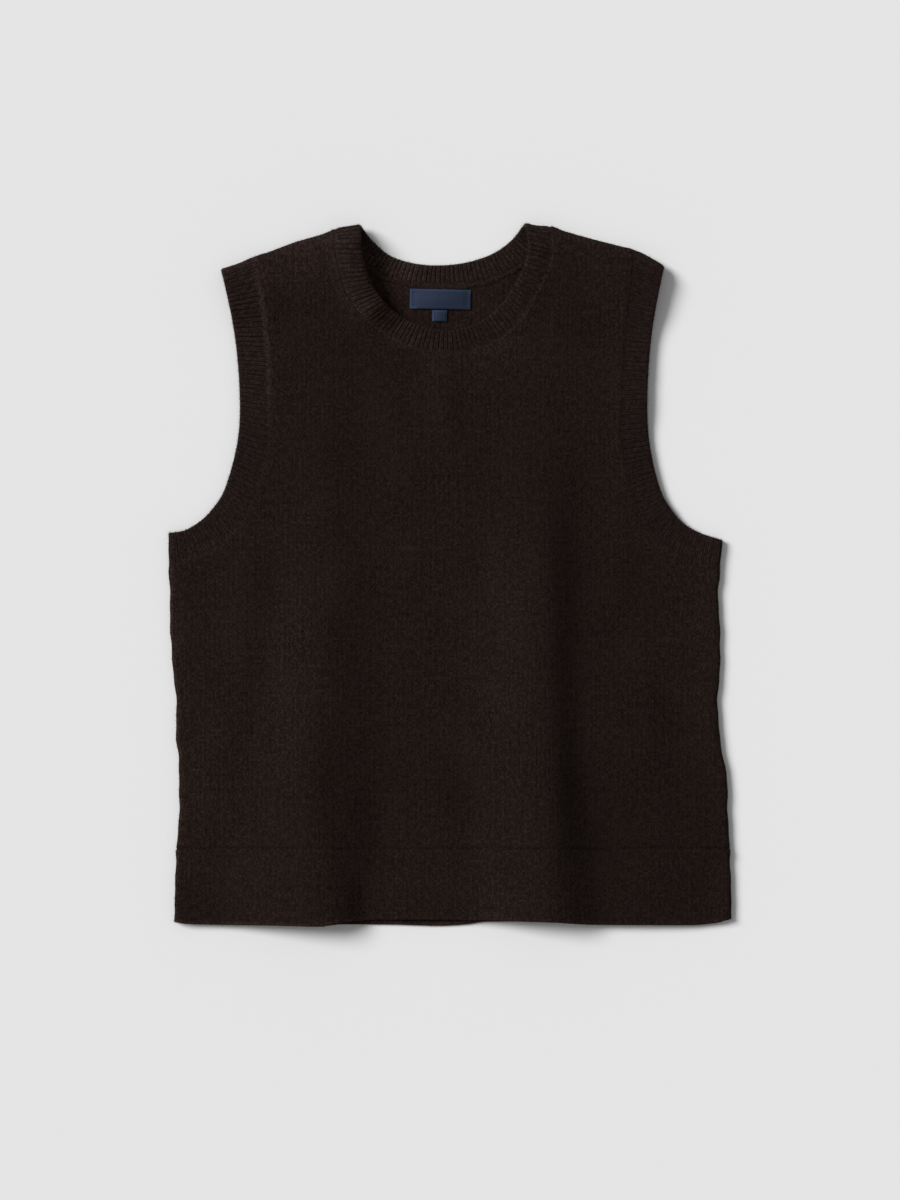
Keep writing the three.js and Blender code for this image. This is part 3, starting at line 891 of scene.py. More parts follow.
def store(made: bpy.types.Object, name: str, values: np.ndarray) -> None:
    """Stores one number a point as a mesh attribute, for the materials.

    Args:
        made: the object.
        name: name of the attribute.
        values: the numbers, in the order of the mesh's points.
    """
    stored = made.data.attributes.new(name, "FLOAT", "POINT")
    stored.data.foreach_set("value", values.astype(np.float32))


class LayerWall(NamedTuple):
    """One layer of the body: points of the cloth's middle and of both its faces, its cells,
    its places on the flat cloth in metres, and the tone of its painted light and shade."""

    middle: np.ndarray
    outer: np.ndarray
    inner: np.ndarray
    faces: np.ndarray
    uv: np.ndarray
    tone: np.ndarray


@dataclass
class VestBody:
    """The body of the vest: front and back in one tube, joined in the folds down its sides and
    along its shoulders, with a turned-up hem."""

    form: VestForm
    hem_seam: float = 68.0
    hem_wall: float = 2.7
    half_columns: int = 50
    side_rows: int = 44
    front_rows: tuple[int, int] = (38, 20)
    back_rows: tuple[int, int] = (42, 6)
    hem_levels: tuple[float, ...] = (
        0, 0.12, 0.45, 1, 1.7, 2.5, 3.4, 4.6, 6.5, 10, 16, 22, 29, 36, 43, 50, 57, 62, 65,
        66.4, 67.3, 68, 68.8, 70, 72, 76,
    )
    fold_reach: float = 9.0
    seam_puff: float = 0.4
    side_top: float = 330.0
    middle_x: float = -3.0

    def half_row(self, end: np.ndarray, middle: np.ndarray) -> np.ndarray:
        """Halves of rows from an outer end to the middle. Their shares are close together on the
        rounded fold and even after it, and a row levels out towards the middle: its height goes
        as one less the square of what is left of the way.

        Args:
            end: (rows, 2) outer ends.
            middle: (rows, 2) points on the middle line.

        Returns:
            (rows, columns, 2) points.
        """
        width = np.abs(middle[:, :1] - end[:, :1])
        turned = self.form.side_reach * (1 - np.sin(np.radians([90, 75, 60, 45, 30, 15, 0])))
        even = np.linspace(0, 1, self.half_columns + 1)[1:]
        reach = self.form.side_reach
        shares = np.concatenate([turned / width, reach / width + even * (1 - reach / width)], 1)
        x = end[:, :1] + (middle[:, :1] - end[:, :1]) * shares
        y = end[:, 1:] + (middle[:, 1:] - end[:, 1:]) * (1 - (1 - shares) ** 2)
        return np.stack([x, y], axis=-1)

    def seam_spots(self, band: Band, shares: np.ndarray) -> np.ndarray:
        """Points on a band's seam, moved half the seam's gap away from the band."""
        seam, edge = band.seam_at(shares), band.edge_at(shares)
        return seam + unit(seam - edge) * self.form.seam_gap / 2

    def level_rows(self, layer: Layer, tops: tuple[float, float]) -> np.ndarray:
        """Rows from the hem edge up to just below the underarms.

        Args:
            layer: front or back cloth.
            tops: heights of the two ends of the last row.

        Returns:
            (rows, columns, 2) points.
        """
        hem = np.array(self.hem_levels)
        share = np.concatenate([np.zeros(len(hem)), np.linspace(0, 1, self.side_rows + 1)[1:]])
        base = np.concatenate([hem, np.full(self.side_rows, hem[-1])])
        ends, settled = [], []
        for side, top in zip(("left", "right"), tops):
            y = base + share * (top - hem[-1])
            x = self.form.side_x(side, np.zeros(1))
            edge = self.hem_edge(layer, x, np.zeros(1))
            settled.append(y + edge * (1 - np.clip(y / self.hem_seam, 0, 1)))
            ends.append(np.stack([self.form.side_x(side, settled[-1]), y], axis=-1))
        middle = np.stack([np.full(len(base), self.middle_x), (ends[0][:, 1] + ends[1][:, 1]) / 2], -1)
        left, right = self.half_row(ends[0], middle), self.half_row(ends[1], middle)
        rows = np.concatenate([left, right[:, -2::-1]], axis=1)
        x = rows[..., 0]
        edge = self.hem_edge(layer, x, np.minimum(x - x[:, :1], x[:, -1:] - x))
        rows[..., 1] += edge * (1 - np.clip(rows[..., 1] / self.hem_seam, 0, 1))
        rows[:, 0, 1], rows[:, -1, 1] = settled
        return rows

    def hem_edge(self, layer: Layer, x: np.ndarray, inside: np.ndarray) -> np.ndarray:
        """Height of a layer's hem edge. Both layers share it where they meet, in the side folds.

        Args:
            layer: front or back cloth.
            x: places across the body.
            inside: distances in from the side folds.

        Returns:
            Heights above the hem line.
        """
        xs = column(HEM_EDGES, "x")
        both = [smooth_read(xs, column(HEM_EDGES, name), x) for name in ("front", "back")]
        mean = (both[0] + both[1]) / 2
        own = both[0] if layer is Layer.FRONT else both[1]
        share = smoothstep(inside / 12)
        return mean + (own - mean) * share

    def strap(self, arm: np.ndarray, neck: np.ndarray, lower: np.ndarray) -> np.ndarray:
        """One shoulder strap: rows between an armhole seam and a neck seam. The bend of its
        lowest row fades upwards as the bend of the shoulder fold grows.

        Args:
            arm: (rows, 2) points of the armhole seam, the last on the shoulder fold.
            neck: (rows, 2) points of the neck seam.
            lower: (columns, 2) the row that the strap starts from.

        Returns:
            (rows, columns, 2) points.
        """
        up = ((arm[:, 1] - arm[0, 1]) / (arm[-1, 1] - arm[0, 1]))[:, None]
        start = (lower[:, 0] - lower[0, 0]) / (lower[-1, 0] - lower[0, 0])
        even = np.linspace(0, 1, len(lower))
        close = (even + 0.5 - 0.5 * np.cos(np.pi * even)) / 2
        shares = start * (1 - up) + close * up
        x = arm[:, :1] + (neck[:, :1] - arm[:, :1]) * shares
        y = arm[:, 1:] + (neck[:, 1:] - arm[:, 1:]) * shares
        bend = lower[:, 1] - (lower[0, 1] + (lower[-1, 1] - lower[0, 1]) * start)
        top_bend = self.form.shoulder(x[-1])[0] - y[-1]
        y = y + bend * (1 - up) + top_bend * up
        y[-1] = self.form.shoulder(x[-1])[0]
        return np.stack([x, y], axis=-1)

    def fold_shares(self, start: float, end: float, count: int, length: float) -> np.ndarray:
        """Shares of a band from a start to its end on a fold: even, then at ten-degree turns.

        Args:
            start: first share.
            end: last share, on the fold.
            count: even steps before the fold.
            length: the band's length in millimetres.

        Returns:
            The shares in order.
        """
        near = self.fold_reach / length * math.copysign(1, end - start)
        turned = 1 - np.sin(np.radians(np.arange(10, 91, 10)))
        return np.concatenate([np.linspace(start, end - near, count + 1), end - near * turned])

    def plan(self, layer: Layer, neck: Band, arms: tuple[Band, Band]) -> list[np.ndarray]:
        """Plan grids of one layer: the body, then its two shoulder straps.

        Args:
            layer: front or back cloth.
            neck: the layer's neckband.
            arms: the left and the right armhole band.

        Returns:
            Grids of plan points that share their edges.
        """
        arm_rows, strap_rows = self.front_rows if layer is Layer.FRONT else self.back_rows
        lowest = neck.lowest_share()
        level = float(self.seam_spots(neck, np.array([lowest]))[0, 1])
        low, straps, necks = [], [], []
        rising = 1 - (1 - np.linspace(0, 1, arm_rows + 1)) ** 1.5
        for arm, end in zip(arms, (0.0, 1.0)):
            share = arm.share_where(level)
            low.append(self.seam_spots(arm, share * rising))
            upper = self.fold_shares(share, 1, strap_rows, arm.length)
            straps.append(self.seam_spots(arm, upper))
            neck_shares = self.fold_shares(lowest, end, strap_rows, neck.length)
            necks.append(self.seam_spots(neck, neck_shares))
        for side, spots in zip(("left", "right"), low):
            spots[0, 0] = self.form.side_x(side, spots[:1, 1])[0]
        rows = self.level_rows(layer, (low[0][0, 1], low[1][0, 1]))
        start = np.array([self.middle_x, rows[-1, rows.shape[1] // 2, 1]])
        middle = start + (necks[0][0] - start) * rising[:, None]
        left, right = self.half_row(low[0], middle), self.half_row(low[1], middle)
        rows = np.concatenate([rows, np.concatenate([left, right[:, -2::-1]], 1)[1:]])
        half = rows.shape[1] // 2
        necks[0][0] = necks[1][0] = rows[-1, half]
        left_strap = self.strap(straps[0], necks[0], rows[-1, : half + 1])
        right_strap = self.strap(straps[1], necks[1], rows[-1, : half - 1 : -1])
        return [rows, left_strap, right_strap]

    def relief(
        self, layer: Layer, spots: np.ndarray, seams: Sequence[tuple[Band, Sequence[SeamLift]]]
    ) -> tuple[np.ndarray, np.ndarray, np.ndarray]:
        """Stitched lines, linked seams and soft puffs on the outer face, how the hem's folded
        edge thins, and the painted light and shade in its colour. A line is a bell-shaped groove,
        a linked seam a bell-shaped ridge; the edge is a half circle of the wall's own radius.

        Args:
            layer: front or back cloth.
            spots: (n, 2) plan points.
            seams: the bands that are joined to this layer, with their seams' tables.

        Returns:
            Height added to the outer face, the share of the wall's half that is left, and the
            tone of the painted light and shade.
        """
        x, y = spots[:, 0], spots[:, 1]
        from_left = x - self.form.side_x("left", y)
        from_right = self.form.side_x("right", y) - x
        above = y - self.hem_edge(layer, x, np.minimum(from_left, from_right))
        wander = 0.35 * np.sin(x / 31 + 1) + 0.2 * np.sin(x / 12)
        stitched = y - self.hem_seam - wander
        raised = -0.55 * bell(stitched, 1.1)
        raised += 0.3 * bell(stitched + 4.5, 3)
        raised -= 0.28 * bell(above - 3, 0.7)
        raised -= 0.5 * bell(from_left - 4.8, 0.9) * (y < self.side_top)
        raised -= 0.2 * bell(from_right - 4.6, 0.9) * (y < self.side_top)
        # Painted shade along the stitched groove of the hem, and a painted highlight along the hem's
        # folded edge, stronger towards the left.
        tone = -0.3 * bell(stitched, 1.2)
        tone += (0.3 + 0.45 * smoothstep((-60 - x) / 60)) * bell(above, 3)
        # Painted light and shade over areas of the front.
        for area in PAINTED_LIGHT_AREAS:
            tone += area.tone * bell(x - area.x, area.reach_x) * bell(y - area.y, area.reach_y)
        places = np.linspace(0, 1, 260)
        for band, lifts in seams:
            gap, number = nearest(spots, band.seam_at(places))
            share = places[number]
            lift, pale, out = (
                smooth_read(column(lifts, "share"), column(lifts, name), share)
                for name in SeamLift._fields[1:]
            )
            length = share * band.length
            uneven = 1 + 0.25 * np.sin(length / 4.3) + 0.2 * np.sin(length / 11 + band.length)
            middle = 1.3 + 0.5 * np.sin(length / 17)
            ridge = bell(gap - middle, 1.35) * uneven
            raised += lift * ridge + self.seam_puff * bell(gap - 5.5, 3.4)
            # Painted highlight in a strip beside each band's seam.
            tone += pale * uneven * bell(gap - out, 2.5)
        if layer is Layer.BACK:
            raised = np.minimum(raised, 0)
            # Painted light on the back: it lightens the shadow that the front's neck edge casts inside
            # the neck, and the strip of the back's hem that the front's hem shades.
            tone = 0.7 * bell(x + 70, 13) * bell(y - 592, 20)
            tone += 0.5 * bell(x + 48, 16) * bell(y - 576, 8)
            tone += 0.9 * bell(above, 5)
        rounding = 1 - np.clip(above / 1.5, 0, 1)
        return raised, 0.08 + 0.92 * np.sqrt(np.maximum(1 - rounding**2, 0)), tone

    def wall_of(
        self, layer: Layer, neck: tuple[Band, Sequence[SeamLift]], arms: tuple[Band, Band]
    ) -> LayerWall:
        """Works out one layer of the body.

        Args:
            layer: front or back cloth.
            neck: the layer's neckband, with its seam's table.
            arms: the left and the right armhole band.

        Returns:
            The layer's points and cells.
        """
        spots, faces = join_grids(self.plan(layer, neck[0], arms))
        faces = np.where(cell_areas(spots, faces)[:, None] < 0, faces[:, ::-1], faces)
        seams = [neck, (arms[0], LEFT_ARM_LIFTS), (arms[1], RIGHT_ARM_LIFTS)]
        raised, thin, tone = self.relief(layer, spots, seams)
        x, y = spots[:, 0], spots[:, 1]
        doubled = smoothstep((self.hem_seam + 0.5 - y) / 2.5)
        wall = self.form.body_wall + (self.hem_wall - self.form.body_wall) * doubled
        middle, up = self.form.cloth(layer, x, y, wall)
        half, relief = up * (wall / 2 * thin)[:, None], up * raised[:, None]
        if layer is Layer.FRONT:
            outer, inner = middle + half + relief, middle - half
        else:
            outer, inner, faces = middle - half - relief, middle + half, faces[:, ::-1]
        return LayerWall(middle, outer, inner, faces, spots * MM, tone)

    def build(self, neck: dict[Layer, Band], arms: tuple[Band, Band]) -> bpy.types.Object:
        """Makes the tube and hides the CAD parts that it stands for. The layers' points that fall
        together on the folds are joined.

        Args:
            neck: the neckband of each layer.
            arms: the left and the right armhole band.

        Returns:
            The body.
        """
        front = self.wall_of(Layer.FRONT, (neck[Layer.FRONT], FRONT_NECK_LIFTS), arms)
        back = self.wall_of(Layer.BACK, (neck[Layer.BACK], BACK_NECK_LIFTS), arms)
        middle, outer, inner, _, uv, tone = (np.concatenate(pair) for pair in zip(front, back))
        cells = np.concatenate([front.faces, back.faces + len(front.middle)])
        _, kept, number = np.unique(
            np.round(middle, 3), axis=0, return_index=True, return_inverse=True
        )
        log.info("body joined: %d points of %d", len(kept), len(middle))
        made = Cloth("vest_body").make(
            middle[kept], outer[kept], inner[kept], number.ravel()[cells], uv[kept]
        )
        store(made, "tone", np.tile(tone[kept], 2))
        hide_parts("front_panel", "back_panel", "front_hem", "back_hem")
        return made


@dataclass
class RibbedRing:
    """A ribbed band all round an opening: along the front cloth, over a fold, back along the
    back cloth and over the other fold. Ribs are arched columns across it."""

    form: VestForm
    name: str
    front: Band
    back: Band
    pitch: float
    inside_ribs: float
    parts: Sequence[RibPart]
    wall: float = 2.2
    rib_height: float = 1.0
    tuck: float = 1.2
    sink: float = 0.2
    steps: int = 8
    seed: int = 3
    across: tuple[float, ...] = (
        0, 0.025, 0.05, 0.08, 0.12, 0.18, 0.26, 0.38, 0.52, 0.68, 0.82, 0.91, 0.96, 0.988, 1.0,
    )

    def plan(self, layer: Layer, shares: np.ndarray) -> tuple[np.ndarray, np.ndarray]:
        """Plan points of sections. Both end sections lie exactly on the folds that they reach,
        and what moves them there dies away over the first centimetre.

        Args:
            layer: front or back cloth.
            shares: places along the band, 0 to 1.

        Returns:
            (sections, places) arrays of x and y.
        """
        band = self.front if layer is Layer.FRONT else self.back
        places = np.array(self.across)
        joined = np.concatenate([shares, [0.0, 1.0]])
        seam, edge = band.seam_at(joined)[:, None], band.edge_at(joined)[:, None]
        seam = seam - unit(edge - seam) * self.tuck
        spots = seam + (edge - seam) * places[None, :, None]
        x, y = spots[..., 0].copy(), spots[..., 1].copy()
        reach = 10 / band.length
        for end, share in ((-2, 0.0), (-1, 1.0)):
            weight = np.clip(1 - np.abs(joined - share) / reach, 0, 1)[:, None] ** 2
            if y[end, 0] < 400:
                side = "left" if x[end, 0] < 0 else "right"
                x += weight * (self.form.side_x(side, y[end]) - x[end])
            else:
                y += weight * (self.form.shoulder(x[end])[0] - y[end])
        return x[:-2], y[:-2]

    def path(self) -> tuple[np.ndarray, np.ndarray]:
        """Walks round the ring along its middle line.

        Returns:
            Places round the ring, 0 to 1 on the front and 1 to 2 on the back, and the length
            walked to each in millimetres.
        """
        even = 0.5 - 0.5 * np.cos(np.linspace(0, np.pi, 1500))
        lines = []
        for layer, shares in ((Layer.FRONT, even), (Layer.BACK, even[::-1])):
            x, y = self.plan(layer, shares)
            middle = len(self.across) // 2
            spots, _ = self.form.cloth(layer, x[:, middle], y[:, middle], self.wall)
            lines.append(spots)
        course = np.concatenate([even, 1 + even])
        steps = np.linalg.norm(np.diff(np.concatenate(lines), axis=0), axis=-1)
        return course, np.concatenate([[0], np.cumsum(steps)])

    def sections(self) -> tuple[np.ndarray, np.ndarray, float]:
        """Courses and rib phases of the sections: the phase grows as length over pitch.

        Returns:
            The courses, the phases in ribs, and the ring's length in millimetres.
        """
        course, walked = self.path()
        phase = walked / self.pitch
        ribs = round(phase[-1])
        wanted = np.arange(ribs * self.steps) / self.steps
        moved = np.random.default_rng(self.seed).uniform(-0.12, 0.12, ribs)
        moved[0] = 0
        uneven = wanted + np.interp(wanted, np.arange(ribs + 1), [*moved, 0])
        log.info("%s: %d ribs, %.0f mm round", self.name, ribs, walked[-1])
        return np.interp(uneven, phase * ribs / phase[-1], course), wanted, float(walked[-1])

    def build(self, replaced: Sequence[str]) -> bpy.types.Object:
        """Makes the ring and hides the CAD nodes that it stands for.

        Args:
            replaced: CAD nodes that it stands for.

        Returns:
            The ring.
        """
        course, phase, length = self.sections()
        parts = []
        for layer, picked in ((Layer.FRONT, course < 1), (Layer.BACK, course >= 1)):
            share = course[picked] if layer is Layer.FRONT else 2 - course[picked]
            parts.append(self.layer_faces(layer, share, phase[picked]))
        middle, outer, inner = (np.concatenate(group) for group in zip(*parts))
        rows, columns = len(course), len(self.across)
        faces = grid_faces(rows, columns, closed=True)
        width = float(np.linalg.norm(middle[:, -1] - middle[:, 0], axis=-1).mean())
        v = np.array(self.across) * width * MM
        u = np.broadcast_to((phase * length / phase[-1] * MM)[:, None], (rows, columns))
        uv = np.stack([u, np.broadcast_to(v, (rows, columns))], axis=-1).reshape(-1, 2)
        points = [group.reshape(-1, 3) for group in (middle, outer, inner)]
        made = Cloth(self.name).make(*points, faces, uv)
        self.paint(made, course, phase, width)
        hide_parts(*replaced)
        return made

    def read(self, name: str, course: np.ndarray) -> np.ndarray:
        """Reads one column of the ribs' table at places round the ring.

        Args:
            name: the column.
            course: places round the ring, 0 to 2.

        Returns:
            One value a place.
        """
        return smooth_read(column(self.parts, "course"), column(self.parts, name), course)

    def ribs(self, phase: np.ndarray) -> np.ndarray:
        """Shares of the ribs' full height, section by place: an arch a rib wide, the sine of
        half its turn, of its own height. A rib rises out of the seam over its own length, and
        flattens at the free edge.

        Args:
            phase: rib phases of the sections.

        Returns:
            (sections, places) shares.
        """
        rng = np.random.default_rng(self.seed + 1)
        count = int(phase.max()) + 2
        height, start = rng.uniform(0.72, 1.08, count), rng.uniform(0.04, 0.15, count)
        number = phase.astype(int)
        arch = np.abs(np.sin(np.pi * phase)) ** 0.8 * height[number]
        places = np.array(self.across)
        rising = smoothstep((places - start[number, None]) / 0.14)
        free = np.clip((places - 0.93) / 0.07, 0, 1)
        return arch[:, None] * rising * (1 - 0.75 * free**2)

    def layer_faces(
        self, layer: Layer, share: np.ndarray, phase: np.ndarray
    ) -> tuple[np.ndarray, np.ndarray, np.ndarray]:
        """Middle, outer and inner points of the sections on one layer. The wall thins to a
        half round at the free edge, and to a wedge where it is tucked under the body.

        Args:
            layer: front or back cloth.
            share: places along the band.
            phase: rib phases.

        Returns:
            Three (sections, places, 3) arrays.
        """
        x, y = self.plan(layer, share)
        middle, up = self.form.cloth(layer, x, y, self.wall)
        turn, _, _ = self.form.fold(x, y)
        folded = smoothstep(turn * 2 / np.pi)
        places = np.array(self.across)
        inward = np.hypot(x - x[:, :1], y - y[:, :1])
        free = np.clip((places - 0.93) / 0.07, 0, 1)
        thin = 0.12 + 0.88 * np.sqrt(1 - free**2)
        half = self.wall / 2 * thin - self.sink * bell(inward, self.tuck)
        course = share if layer is Layer.FRONT else 2 - share
        rib = self.rib_height * self.read("strength", course)[:, None] * self.ribs(phase)
        top = 1 if layer is Layer.FRONT else self.inside_ribs + (1 - self.inside_ribs) * folded
        above = middle + up * (half + rib * top)[..., None]
        below = middle - up * (half + rib * folded)[..., None]
        return (middle, above, below) if layer is Layer.FRONT else (middle, below, above)

    def paint(
        self, made: bpy.types.Object, course: np.ndarray, phase: np.ndarray, width: float
    ) -> None:
        """Stores where each point lies across its rib, how deep its valley is for painted shade in the
        valleys, and the tone of painted light and shade, with a painted highlight on the free edge
        and, by a bell, beside the seam.

        Args:
            made: the ring.
            course: places of the sections round the ring.
            phase: rib phases of the sections.
            width: mean width of the band in millimetres.
        """
        columns = len(self.across)
        side = np.repeat(np.abs(np.sin(np.pi * phase)), columns)
        faded = smoothstep(np.array(self.across) / 0.2)
        strength = np.repeat(self.read("strength", course), columns)
        # The valley value darkens the colour in the rib valleys as painted shade.
        valley = (1 - side) * np.tile(faded, len(phase)) * strength
        edge = bell(1 - np.array(self.across), 0.05)
        inward = np.array(self.across) * width - self.tuck
        beside = self.read("seam", course)[:, None] * bell(inward - 1.5, 2.2)
        store(made, "rib", np.tile(side, 2))
        store(made, "valley", np.tile(valley, 2))
        # Painted highlight on the free edge and beside the seam, with the table's painted light and
        # shade.
        tone = edge * 0.35 + beside + self.read("tone", course)[:, None]
        store(made, "tone", np.tile(tone.ravel(), 2))


@dataclass
class NeckRoll:
    """The rolled cover of the back neck seam, between the neckband and the label."""

    form: VestForm
    band: Band
    name: str = "neck_seam_roll"
    width: float = 2.3
    rise: float = 0.95
    aside: float = 1.1
    lift: float = 1.0
    start: float = 0.2
    end: float = 0.9
    around: int = 12
    step: float = 0.8

    def build(self) -> bpy.types.Object:
        """Makes the roll: an ellipse carried along the seam, shrinking at both ends, uneven by
        slow sines and twisted by a sine that turns round it.

        Returns:
            The roll.
        """
        count = int(self.band.length * (self.end - self.start) / self.step)
        shares = np.linspace(self.start, self.end, count)
        seam, edge = self.band.seam_at(shares), self.band.edge_at(shares)
        away = unit(seam - edge)
        walked = np.arange(count) * self.step
        left = np.minimum(walked, walked[::-1])
        size = 0.04 + 0.96 * np.sqrt(np.clip(left / 7, 0, 1))
        uneven = 1 + 0.12 * np.sin(walked / 4.8) + 0.1 * np.sin(walked / 2.1 + 2)
        uneven += 0.5 * bell(walked - 8, 6)
        spots = seam + away * (self.aside + 0.3 * np.sin(walked / 3))[:, None]
        base, up = self.form.cloth(Layer.BACK, spots[:, 0], spots[:, 1], self.form.body_wall)
        centre = base + up * self.lift
        turn = np.linspace(0, 2 * np.pi, self.around, endpoint=False)
        twist = 1 + 0.1 * np.sin(turn * 2 + walked[:, None] * 2.6)
        flat = np.concatenate([away, np.zeros((count, 1))], axis=1)
        across = unit(np.cross(np.cross(up, flat), up))
        wide = (self.width * size * uneven)[:, None] * twist * np.cos(turn)
        tall = (self.rise * size)[:, None] * twist * np.sin(turn)
        points = centre[:, None] + wide[..., None] * across[:, None] + tall[..., None] * up[:, None]
        made = self.close(points)
        # Painted light on the roll, strongest near its start.
        tone = 0.15 + 0.6 * bell(walked, 28)
        store(made, "tone", np.repeat(tone, self.around))
        return made

    def close(self, points: np.ndarray) -> bpy.types.Object:
        """Joins rings of points into a tube and caps both ends with strips of quads.

        Args:
            points: (rings, points in a ring, 3) points in millimetres.

        Returns:
            The roll.
        """
        rows, around = points.shape[:2]
        numbers = np.arange(rows * around).reshape(rows, around)
        after = np.roll(numbers, -1, axis=1)
        walls = np.stack([numbers[:-1], numbers[1:], after[1:], after[:-1]], -1).reshape(-1, 4)
        k = np.arange(around // 2 - 1)
        strip = np.stack([k, k + 1, around - 2 - k, around - 1 - k], axis=-1)
        caps = np.concatenate([strip, strip[:, ::-1] + (rows - 1) * around])
        flat = points.reshape(-1, 3)
        corners = flat[walls]
        normal = np.cross(corners[:, 2] - corners[:, 0], corners[:, 3] - corners[:, 1])
        outward = corners.mean(axis=1) - np.repeat(points.mean(axis=1)[:-1], around, axis=0)
        faces = np.concatenate([walls, caps])
        if (normal * outward).sum() < 0:
            faces = faces[:, ::-1]
        length = np.linalg.norm(np.diff(points.mean(axis=1), axis=0), axis=-1).sum()
        u = np.repeat(np.linspace(0, length, rows) * MM, around)
        v = np.tile(np.linspace(0, 2 * np.pi * self.width, around) * MM, rows)
        made = put_mesh(self.name, flat, faces, np.stack([u, v], axis=-1))
        log.info("%s: %.0f mm long", self.name, length)
        return made


@dataclass
class WovenLabel:
    """A plain woven label on the inside of the back, its ends folded under."""

    form: VestForm
    name: str
    node: str
    x: float
    y: float
    width: float
    height: float
    turn: float = -0.02
    wall: float = 0.7
    bulge: float = 2.4
    rim: float = 0.25
    cells: tuple[int, int] = (44, 22)

    def build(self) -> bpy.types.Object:
        """Makes the label: a sheet over the cloth, bulged as half a cosine across both ways,
        with a thicker rim where the edges fold under.

        Returns:
            The label.
        """
        columns, rows = self.cells
        s, t = np.meshgrid(
            -0.5 * np.cos(np.linspace(0, np.pi, columns + 1)),
            -0.5 * np.cos(np.linspace(0, np.pi, rows + 1)),
        )
        cos, sin = math.cos(self.turn), math.sin(self.turn)
        x = self.x + s * self.width * cos - t * self.height * sin
        y = self.y + s * self.width * sin + t * self.height * cos
        base, up = self.form.cloth(Layer.BACK, x, y, self.form.body_wall)
        inside = 0.5 - np.abs(s)
        over = np.minimum((0.5 - np.abs(s)) * self.width, (0.5 - np.abs(t)) * self.height)
        crown = np.cos(np.pi * s) * (0.35 + 0.65 * np.cos(np.pi * t)) * np.minimum(inside * 8, 1)
        folded = self.rim * (1 - smoothstep((over - 1.6) / 1.0))
        lift = self.form.body_wall / 2 + 0.25 + self.wall / 2 + self.bulge * crown
        round_edge = np.sqrt(np.clip(over / 0.35, 0, 1)) * 0.85 + 0.15
        middle = base + up * lift[..., None]
        outer = middle + up * ((self.wall / 2 + folded) * round_edge)[..., None]
        inner = middle - up * (self.wall / 2 * round_edge)[..., None]
        faces = grid_faces(rows + 1, columns + 1)
        uv = np.stack([s * self.width, t * self.height], axis=-1).reshape(-1, 2) * MM
        points = [group.reshape(-1, 3) for group in (middle, outer, inner)]
        made = Cloth(self.name).make(*points, faces, uv)
        # Painted light and shade: the folded rim is lighter on the left and the top and darker
        # elsewhere, and the label darkens towards the right and upwards.
        painted_rim_light = folded / self.rim * np.where((s < -0.4) | (t > 0.3), 0.5, -0.2)
        tone = painted_rim_light - 0.42 * (s + 0.2 + t * 0.25)
        store(made, "tone", np.tile(tone.ravel(), 2))
        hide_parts(self.node)
        return made


